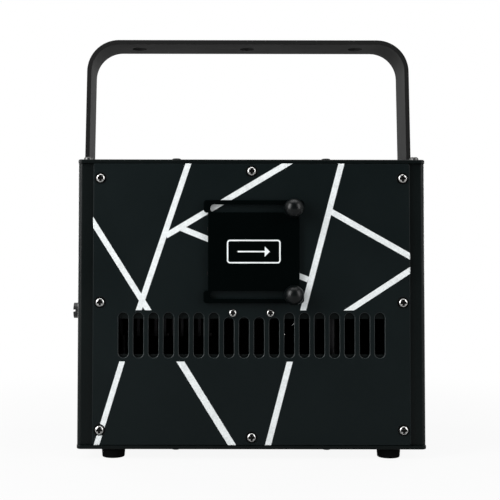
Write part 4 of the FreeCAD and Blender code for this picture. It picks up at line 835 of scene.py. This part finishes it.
def rounded_ring(x, z, width, height, corner, line):
    """The line of a rounded frame, as quads round it."""
    rings = []
    for inset in (0.0, line):
        points = []
        for i, (sx, sz) in enumerate(((1, 1), (-1, 1), (-1, -1), (1, -1))):
            cx = x + sx * (width / 2 - corner)
            cz = z + sz * (height / 2 - corner)
            points += arc(cx, cz, corner - inset, i * pi / 2, (i + 1) * pi / 2)
        rings.append(points)
    return band(*rings)


def round_ring(x, z, outer, inner, steps=24):
    """The line of a circle, as quads round it."""
    return band(*(arc(x, z, radius, 0.0, tau, steps)[:-1] for radius in (outer, inner)))


def coats_of(context):
    return context.scene.projector_coats


class PROJECTOR_OT_housing(bpy.types.Operator):
    """Coat the folded sheets of the box and the steel inside it"""

    bl_idname = "projector.housing"
    bl_label = "Coat the housing"

    def execute(self, context):
        coats = coats_of(context)
        black = powder_coat("black_powder_coat", coats.sheet_black, coats)
        dress(black, "base_plate", "top_lid", "right_side_panel", "left_side_panel")
        dress(powder_coat("rear_powder_coat", coats.panel_black, coats), "rear_panel")
        dress(powder_coat("inner_black_coat", coats.sheet_black, coats), "vent_frame")
        steel = shade(coats.steel, 0.3)
        dress(drawn("bare_steel", steel, roughness=0.5, lines=RAIL_LINES), "cross_rails")
        return {"FINISHED"}


class PROJECTOR_OT_front_panel(bpy.types.Operator):
    """Coat the front panel and print its stripes"""

    bl_idname = "projector.front_panel"
    bl_label = "Print the front panel"

    def execute(self, context):
        coats = coats_of(context)
        dress(printed_coat("striped_front_coat", coats.panel_black, coats), "front_panel")
        return {"FINISHED"}


class PROJECTOR_OT_shutter(bpy.types.Operator):
    """Finish the shutter, its thumbscrews and the window behind it"""

    bl_idname = "projector.shutter"
    bl_label = "Finish the shutter"

    mark_width: length("Mark width", "Width of the printed slide mark", 0.0340)
    mark_height: length("Mark height", "Height of the printed slide mark", 0.0150)
    mark_line: length("Mark line", "Line of the printed slide mark", 0.0009)
    mark_corner: length("Mark corner", "Corner of the printed frame", 0.0020)
    arrow_share: factor("Arrow reach", "Half the arrow as a share of the mark's width", 0.30)
    head_share: factor("Arrow head", "Half the head as a share of the mark's height", 0.22)

    def execute(self, context):
        coats = coats_of(context)
        black = shade(coats.sheet_black, 0.5)
        plate = powder_coat("shutter_coat", black, coats, gloss=coats.shutter_gloss)
        dress(plate, "shutter_plate")
        black = shade(coats.panel_black, 0.3)
        knob = moulded("thumbscrew_plastic", black, roughness=0.30, gloss=0.22)
        dress(knob, "upper_thumbscrew", "lower_thumbscrew")
        dress(plated("turned_brass", coats.brass, roughness=0.30), "shutter_bushes")
        dress(clear_glass("window_glass", coats.window_tint), "window_glass")
        dress(moulded("holder_plastic", coats.moulded_black, roughness=0.5), "window_holder")
        self.print_mark(coats)
        return {"FINISHED"}

    def print_mark(self, coats):
        """A plain framed arrow that shows which way the plate slides."""
        x, _, z = centre("shutter_plate")
        size = (self.mark_width, self.mark_height, self.mark_corner, self.mark_line)
        ring = rounded_ring(x, z, *size)
        reach = self.mark_width * self.arrow_share
        half = self.mark_line / 2
        head = self.mark_height * self.head_share
        neck = x + reach - head
        arrow = [(x - reach, z - half), (neck, z - half), (neck, z - head), (x + reach, z)]
        arrow += [(neck, z + head), (neck, z + half), (x - reach, z + half)]
        plates = [flat_plate(outlines, SHUTTER_FACE, FRONT) for outlines in (ring, [arrow])]
        white = moulded("mark_paint", coats.stripe_white, roughness=0.55)
        printed("shutter_slide_mark", plates, white, "shutter")


class PROJECTOR_OT_yoke(bpy.types.Operator):
    """Finish the yoke, its knobs and pivots"""

    bl_idname = "projector.yoke"
    bl_label = "Finish the yoke"

    def execute(self, context):
        coats = coats_of(context)
        looks = (coats.yoke_grey, coats, coats.yoke_roughness, coats.yoke_gloss)
        dress(powder_coat("grey_powder_coat", *looks), "yoke")
        dress(powder_coat("eye_coat", shade(coats.yoke_grey, 1.8), coats), "safety_eye")
        knob = moulded("knob_plastic", coats.moulded_black, roughness=0.38)
        dress(knob, "left_clamp_knob", "right_clamp_knob")
        washer = moulded("washer_nylon", shade(coats.moulded_black, 2.0), roughness=0.6)
        dress(washer, "pivot_washers")
        dress(plated("nut_zinc", coats.steel, roughness=0.35), "pivot_nuts")
        return {"FINISHED"}


class PROJECTOR_OT_feet(bpy.types.Operator):
    """Finish the rubber feet"""

    bl_idname = "projector.feet"
    bl_label = "Finish the feet"

    def execute(self, context):
        black = coats_of(context).rubber_black
        rubber = moulded("foot_rubber", black, roughness=0.82, grain=0.0006, gloss=0.05)
        dress(rubber, "rubber_feet")
        return {"FINISHED"}


class PROJECTOR_OT_screws(bpy.types.Operator):
    """Set cross-recessed heads on every screw"""

    bl_idname = "projector.screws"
    bl_label = "Make the screws"

    def execute(self, context):
        coats = coats_of(context)
        sizes = context.scene.projector_screws
        heads = ("Head Radius", "Head Height", "Crown Power", "Shank Radius", "Shank Length")
        recess = ("Recess Reach", "Recess Width", "Recess Depth")
        tree, inputs = placing_tree("cross_head_screws", heads + recess, cross_head)
        zinc = screw_plate("zinc_plate", coats.zinc, roughness=0.22)
        # Painted shade: a darker copy of the zinc, its reflection toned down, for the cover screws
        dull = screw_plate("dull_zinc", shade(coats.zinc, 0.2), roughness=0.42)
        dull.set({"Specular Tint": shade(coats.zinc, 0.5)})
        black = screw_plate("black_oxide", shade(coats.steel, 0.03), roughness=0.45)
        rows = (
            ("front_panel_screws", "pan", FRONT, zinc, "zinc_screws"),
            ("vent_screws", "small", FRONT, zinc, "zinc_screws"),
            ("window_screws", "flush", FRONT, black, "black_screws"),
            ("rear_screws", "pan", REAR, zinc, "zinc_screws"),
            ("cover_screws", "pan", None, dull, "zinc_screws"),
            ("low_screws", "low", None, black, "black_screws"),
        )
        for node, kind, aim, metal, slot in rows:
            radius = getattr(sizes, kind + "_radius")
            height = getattr(sizes, kind + "_height")
            # The crown of a countersunk head stands on the solid's flat top
            places = screw_places(node, aim, 0.0 if kind == "flush" else height)
            values = {
                "Head Radius": radius,
                "Head Height": height,
                "Crown Power": sizes.crown_power,
                "Shank Radius": sizes.shank_radius,
                "Shank Length": sizes.shank_length,
                "Recess Reach": radius * sizes.recess_reach_share,
                "Recess Width": radius * sizes.recess_width_share,
                "Recess Depth": height * sizes.recess_depth_share,
                "Spin": pi / 2,
                "Seed": sizes.seed,
                "Metal": metal.material,
            }
            name = node[:-1] + "_heads"
            mesh = baked(name, places, tree, inputs, values)
            piece = new_piece(name, mesh, metal, HOUSING)
            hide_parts(node)
        return {"FINISHED"}


def segment_bars(height, line):
    """Outlines of the seven bars of a display figure, named a to g as usual."""
    half, reach = line / 2, height / 4
    gap = line * SEGMENT_GAP
    lying = [(-reach + gap + half, half), (-reach + gap, 0.0), (-reach + gap + half, -half)]
    lying += [(reach - gap - half, -half), (reach - gap, 0.0), (reach - gap - half, half)]
    standing = [(v, u) for u, v in lying]
    spots = {
        "a": (lying, 0, 2 * reach),
        "b": (standing, reach, reach),
        "c": (standing, reach, -reach),
        "d": (lying, 0, -2 * reach),
        "e": (standing, -reach, -reach),
        "f": (standing, -reach, reach),
        "g": (lying, 0, 0),
    }
    return {name: [(u + x, v + z) for u, v in bar] for name, (bar, x, z) in spots.items()}


class PROJECTOR_OT_rear_fittings(bpy.types.Operator):
    """Finish the sockets, switches, display and buttons at the rear"""

    bl_idname = "projector.rear_fittings"
    bl_label = "Finish the rear fittings"

    digit_height: length("Digit height", "Height of a display figure", 0.0095)
    digit_line: length("Digit line", "Width of a display segment", 0.0011)
    digit_pitch: length("Digit pitch", "From one figure to the next", 0.0088)
    mark_size: length("Sign size", "Size of a menu button's sign", 0.0034)
    mark_lift: length("Sign lift", "From a button's middle up to its sign", 0.0068)
    sign_rise: length("Rocker sign rise", "From the rocker's middle to a sign", 0.0045)
    sign_radius: length("Rocker sign radius", "Radius of the ring and half the bar", 0.0019)
    sign_line: length("Rocker sign line", "Width of the ring's and the bar's line", 0.0006)
    ring_share: factor("Sign ring bore", "Bore of the enter ring as a share of its radius", 0.62)
    port_width: length("Port width", "Width of the port's insert", 0.0362)
    port_height: length("Port height", "Height of the port's insert", 0.0070)
    port_lean: factor("Port lean", "How far its ends lean in, as a share of half its height", 0.35)
    contact_pitch: length("Contact pitch", "From one contact to the next", 0.00276)
    contact_radius: length("Contact radius", "Radius of a contact's rim", 0.00065)
    contact_height: length("Contact height", "How far a contact stands out", 0.0001)

    def execute(self, context):
        coats = coats_of(context)
        socket = moulded("socket_plastic", coats.moulded_black, roughness=0.42)
        dress(socket, "output_socket", "power_switch_frame")
        self.pinned("input_socket", coats)
        self.bladed("power_inlet", coats)
        dress(plated("port_steel", coats.steel, roughness=0.28), "signal_port")
        self.rocker(coats)
        dress(plated("dark_nickel", shade(coats.steel, 0.4), roughness=0.32), "key_switch_body")
        dress(plated("nickel_plate", coats.steel, roughness=0.24), "key_barrel", "switch_key")
        tint = moulded("display_tint", coats.display_red, roughness=0.08, grain=0.002)
        dress(tint, "display_window")
        button = moulded("button_plastic", shade(coats.moulded_black, 2.4), roughness=0.55)
        dress(button, *(f"menu_button_{i}" for i in range(1, 5)))
        self.digits(coats)
        self.button_marks(coats)
        self.insert(coats)
        self.contacts(coats)
        return {"FINISHED"}

    def rocker(self, coats):
        """The red rocker with a white bar on its upper half and a white ring on its lower half."""
        finish = moulded("rocker_plastic", coats.rocker_red, roughness=0.25)
        x, y, z = finish.split(finish.place())
        middle = centre("power_rocker")
        across = abs(x - middle.x)
        above = z - (middle.z + self.sign_rise)
        under = z - (middle.z - self.sign_rise)
        half = self.sign_line / 2
        bar = across.below(half) * abs(above).below(self.sign_radius)
        away = (across * across + under * under) ** 0.5
        ring = abs(away - (self.sign_radius - half)).below(half)
        paint = bar.at_least(ring) * y.above(middle.y)
        red = finish.linked("Base Color")
        finish.set({"Base Color": finish.blend(paint, red, coats.stripe_white)})
        dress(finish, "power_rocker")

    def digits(self, coats):
        """Four seven-segment figures in the display, lit or unlit."""
        middle = centre("display_window")
        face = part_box("display_window")[1].y
        lit, unlit = [], []
        for place, figure in enumerate(DISPLAY_FIGURES):
            x = middle.x + (len(DISPLAY_FIGURES) / 2 - 0.5 - place) * self.digit_pitch
            for name, bar in segment_bars(self.digit_height, self.digit_line).items():
                points = [(x - u, middle.z + v) for u, v in bar]
                group = lit if name in SEGMENTS_LIT[figure] else unlit
                group.append(flat_plate([points], face, REAR))
        red = coats.glow_red
        looks = {"Base Color": red, "Roughness": 0.4, "Emission Strength": 1.0}
        glow = Finish("lit_segment", looks)
        cloud = glow.noise(GLOW_CLOUD)
        glow.set({"Emission Color": glow.blend(cloud, red, shade(red, GLOW_DIM))})
        dull = moulded("unlit_segment", shade(coats.display_red, 0.6), roughness=0.3)
        printed("display_lit_segments", lit, glow)
        printed("display_dark_segments", unlit, dull)

    def button_marks(self, coats):
        """A plain sign over each menu button: three triangles for back, up and down, and a ring."""
        r = self.mark_size / 2
        plates = []
        for button, start in ((4, 0.0), (3, pi / 2), (2, -pi / 2), (1, None)):
            spot = centre(f"menu_button_{button}")
            z = spot.z + self.mark_lift
            if start is None:
                sign = round_ring(spot.x, z, r, r * self.ring_share)
            else:
                sign = [arc(spot.x, z, r, start, start + tau * 2 / 3, 2)]
            plates.append(flat_plate(sign, REAR_FACE, REAR))
        white = moulded("sign_paint", shade(coats.stripe_white, 0.8), roughness=0.55)
        printed("menu_button_signs", plates, white)

    def insert(self, coats):
        """The port's dark insert, narrower at its lower edge."""
        middle = centre("signal_port")
        wide, tall = self.port_width / 2, self.port_height / 2
        narrow = wide - tall * self.port_lean
        corners = ((-wide, tall), (wide, tall), (narrow, -tall), (-narrow, -tall))
        outline = [(middle.x + u, middle.z + v) for u, v in corners]
        plate = flat_plate([outline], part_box("signal_port")[1].y, REAR)
        dark = moulded("port_insert", coats.moulded_black, roughness=0.5)
        printed("signal_port_insert", [plate], dark)

    def contacts(self, coats):
        """The port's two rows of contacts, on its insert."""
        sizes = ("Outer Radius", "Bore Share", "Height")
        tree, inputs = placing_tree("port_contacts", sizes, bored_rim)
        gold = plated("contact_gold", coats.brass, roughness=0.25)
        middle = centre("signal_port")
        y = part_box("signal_port")[1].y + PRINT_DEPTH
        places = []
        for row, count in CONTACT_ROWS.items():
            z = middle.z + row * self.contact_pitch / 2
            for i in range(count):
                x = middle.x + (i - (count - 1) / 2) * self.contact_pitch
                places.append((Vector((x, y, z)), REAR))
        values = {
            "Outer Radius": self.contact_radius,
            "Bore Share": CONTACT_BORE,
            "Height": self.contact_height,
            "Metal": gold.material,
        }
        mesh = baked("signal_port_contacts", places, tree, inputs, values)
        new_piece("signal_port_contacts", mesh, gold, HOUSING)

    def metal_inside(self, node, coats, spots, half):
        """Moulded plastic with bare metal contacts at spots inside it."""
        finish = moulded(node + "_plastic", coats.moulded_black, roughness=0.42)
        metal = None
        for spot in spots:
            mask = finish.box_mask(spot, half)
            metal = mask if metal is None else metal.at_least(mask)
        base = finish.linked("Base Color")
        finish.set({"Base Color": finish.blend(metal, base, coats.zinc), "Metallic": metal})
        dress(finish, node)

    def pinned(self, node, coats):
        """A socket with three pins on a circle."""
        middle = centre(node)
        spots = []
        for quarter in (0, 1, 3):
            x = middle.x + PIN_CIRCLE * cos(quarter * pi / 2)
            z = middle.z + PIN_CIRCLE * sin(quarter * pi / 2)
            spots.append((x, REAR_FACE - PIN_DEPTH, z))
        self.metal_inside(node, coats, spots, PIN_HALF)

    def bladed(self, node, coats):
        """An inlet with three blades side by side, the middle one higher."""
        middle = centre(node)
        spots = []
        for step in (-1, 0, 1):
            z = middle.z + BLADE_RISE * (1 - 2 * abs(step))
            spots.append((middle.x + step * BLADE_PITCH, REAR_FACE - BLADE_DEPTH, z))
        self.metal_inside(node, coats, spots, BLADE_HALF)


class PROJECTOR_OT_inside(bpy.types.Operator):
    """Finish the optics, boards, supply and fan inside the box"""

    bl_idname = "projector.inside"
    bl_label = "Finish the inside"

    def execute(self, context):
        coats = coats_of(context)
        milled = drawn("milled_alloy", coats.alloy, roughness=0.36, lines=BENCH_LINES)
        dress(milled, "optical_bench", "bench_pillars", "heat_sink")
        dress(milled, "galvo_block", "filter_holders")
        cast = drawn("module_alloy", shade(coats.alloy, 0.8), roughness=0.34, lines=MODULE_LINES)
        dress(cast, "red_laser_module", "green_laser_module", "blue_laser_module")
        motor = plated("motor_steel", shade(coats.steel, 0.7), roughness=0.30)
        dress(motor, "horizontal_galvo_motor", "vertical_galvo_motor")
        mirror = plated("mirror_silver", coats.mirror_silver, roughness=0.10, grain=0.004)
        dress(mirror, "horizontal_scan_mirror", "vertical_scan_mirror")
        dress(clear_glass("filter_glass", coats.filter_tint), "combining_filters")
        dress(plated("standoff_brass", coats.brass, roughness=0.28), "standoffs")
        case = drawn("supply_alloy", shade(coats.alloy, 0.85), roughness=0.42, lines=SUPPLY_LINES)
        dress(case, "power_supply")
        fan = moulded("fan_plastic", shade(coats.moulded_black, 0.5), roughness=0.85, gloss=0.0)
        dress(fan, "fan_frame", "fan_rotor")
        self.board("control_board", coats, 1, CONTROL_BOARD_IN)
        self.board("galvo_driver_board", coats, 0, DRIVER_BOARD_IN)
        return {"FINISHED"}

    def board(self, node, coats, axis, inset):
        """A green board whose fittings, off the board's own plane, are dark."""
        finish = Finish(node + "_mask", {"Specular IOR Level": 0.5})
        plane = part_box(node)[1][axis] - inset
        flat = abs(finish.split(finish.place())[axis] - plane).below(BOARD_HALF)
        tracks = finish.noise(TRACK_SIZE, detail=0.0).ramp(*TRACK_LEVELS)
        green = finish.blend(tracks, coats.board_green, shade(coats.board_green, 1.7))
        dark = shade(coats.moulded_black, 1.6)
        looks = {
            "Base Color": finish.blend(flat, dark, green),
            "Roughness": FITTING_ROUGHNESS + flat * (BOARD_ROUGHNESS - FITTING_ROUGHNESS),
        }
        dress(finish.set(looks), node)


class PROJECTOR_OT_stage(bpy.types.Operator):
    """Set the floor, the lamps and the camera"""

    bl_idname = "projector.stage"
    bl_label = "Set the stage"

    def execute(self, context):
        studio = context.scene.projector_studio
        context.scene.view_settings.view_transform = "Standard"
        self.world(context, studio)
        self.floor(context, studio)
        self.lamps(context, studio)
        self.camera(context, studio)
        return {"FINISHED"}

    def bright(self, graph, backdrop, studio):
        """White to the camera and in the backdrop's reflection, dimmer in the room's, else zero."""
        rays = graph.outputs(graph.node("ShaderNodeLightPath"))
        mirrored = (rays["Is Glossy Ray"] + rays["Is Transmission Ray"]).at_most(1.0)
        mirrored = mirrored * (studio.room_dark + backdrop * (1 - studio.room_dark))
        return rays["Is Camera Ray"].at_least(mirrored)

    def world(self, context, studio):
        """White all round, which lights the object only by the fill."""
        world = bpy.data.worlds.new("studio_white")
        context.scene.world = world
        world.use_nodes = True
        graph = Graph(world.node_tree)
        _, toward, _ = graph.split(graph.node("ShaderNodeTexCoord", out="Generated"))
        strength = self.bright(graph, toward.ramp(*SKY_TURN), studio).at_least(studio.fill)
        background = world.node_tree.nodes["Background"]
        graph.feed(background.inputs["Color"], WHITE)
        graph.feed(background.inputs["Strength"], strength)

    def floor(self, context, studio):
        """A pale round floor that keeps the object's shadow."""
        mesh = bmesh.new()
        radius = studio.floor_radius
        bmesh.ops.create_circle(mesh, cap_ends=True, segments=FLOOR_SIDES, radius=radius)
        data = bpy.data.meshes.new("floor")
        mesh.to_mesh(data)
        mesh.free()
        floor = bpy.data.objects.new("floor", data)
        context.scene.collection.objects.link(floor)
        material = bpy.data.materials.new("pale_floor")
        material.use_nodes = True
        nodes = material.node_tree.nodes
        nodes.remove(nodes["Principled BSDF"])
        graph = Graph(material.node_tree)
        x, y, _ = graph.split(graph.node("ShaderNodeTexCoord", out="Object"))
        away = (x * x + y * y) ** 0.5
        white = graph.node("ShaderNodeEmission", None, {"Color": WHITE, "Strength": 1.0})
        matt = graph.node("ShaderNodeBsdfDiffuse", None, {"Color": FLOOR_GREY})
        glow = self.bright(graph, y.ramp(*FLOOR_TURN), studio) * away.ramp(*FLOOR_FADE)
        mixed = graph.node("ShaderNodeMixShader", None, {0: glow, 1: matt, 2: white})
        graph.feed(nodes["Material Output"].inputs["Surface"], mixed)
        data.materials.append(material)

    def lamps(self, context, studio):
        """Softboxes that all face the object."""
        for name, (at, size, power) in SOFTBOXES.items():
            data = bpy.data.lights.new(name, "AREA")
            data.shape = "RECTANGLE"
            data.size, data.size_y = size
            data.energy = getattr(studio, power)
            lamp = bpy.data.objects.new(name, data)
            lamp.location = at
            aim = LAMP_AIM - lamp.location
            lamp.rotation_euler = aim.to_track_quat("-Z", "Y").to_euler()
            context.scene.collection.objects.link(lamp)

    def camera(self, context, studio):
        """A camera that looks straight at the front and is framed by its shift."""
        data = bpy.data.cameras.new("camera")
        data.sensor_width = SENSOR_WIDTH
        data.lens = studio.lens
        data.shift_x = studio.shift_x
        data.shift_y = studio.shift_y
        camera = bpy.data.objects.new("camera", data)
        spot = (studio.camera_side, FRONT_FACE - studio.camera_distance, studio.camera_height)
        camera.location = spot
        level = Matrix.Rotation(pi / 2 + studio.camera_pitch, 3, "X")
        camera.rotation_euler = (level @ Matrix.Rotation(studio.camera_roll, 3, "Z")).to_euler()
        context.scene.collection.objects.link(camera)
        context.scene.camera = camera


OPERATORS = (
    PROJECTOR_OT_housing,
    PROJECTOR_OT_front_panel,
    PROJECTOR_OT_shutter,
    PROJECTOR_OT_yoke,
    PROJECTOR_OT_feet,
    PROJECTOR_OT_screws,
    PROJECTOR_OT_rear_fittings,
    PROJECTOR_OT_inside,
    PROJECTOR_OT_stage,
)


class PROJECTOR_PT_panel(bpy.types.Panel):
    """Lists the projector's pieces in the sidebar."""

    bl_idname = "PROJECTOR_PT_panel"
    bl_label = "Laser Show Projector"
    bl_space_type = "VIEW_3D"
    bl_region_type = "UI"
    bl_category = "Projector"

    def draw(self, context):
        for operator in OPERATORS:
            self.layout.operator(operator.bl_idname)


GROUPS = {
    "projector_coats": ProjectorCoats,
    "projector_screws": ProjectorScrews,
    "projector_studio": ProjectorStudio,
}


def register():
    for kind in (*GROUPS.values(), *OPERATORS, PROJECTOR_PT_panel):
        bpy.utils.register_class(kind)
    for name, group in GROUPS.items():
        setattr(bpy.types.Scene, name, PointerProperty(type=group))


def unregister():
    for name in GROUPS:
        delattr(bpy.types.Scene, name)
    for kind in (PROJECTOR_PT_panel, *reversed(OPERATORS), *GROUPS.values()):
        bpy.utils.unregister_class(kind)


def main():
    register()
    for operator in OPERATORS:
        group, name = operator.bl_idname.split(".")
        getattr(getattr(bpy.ops, group), name)()


if __name__ == "__main__":
    main()
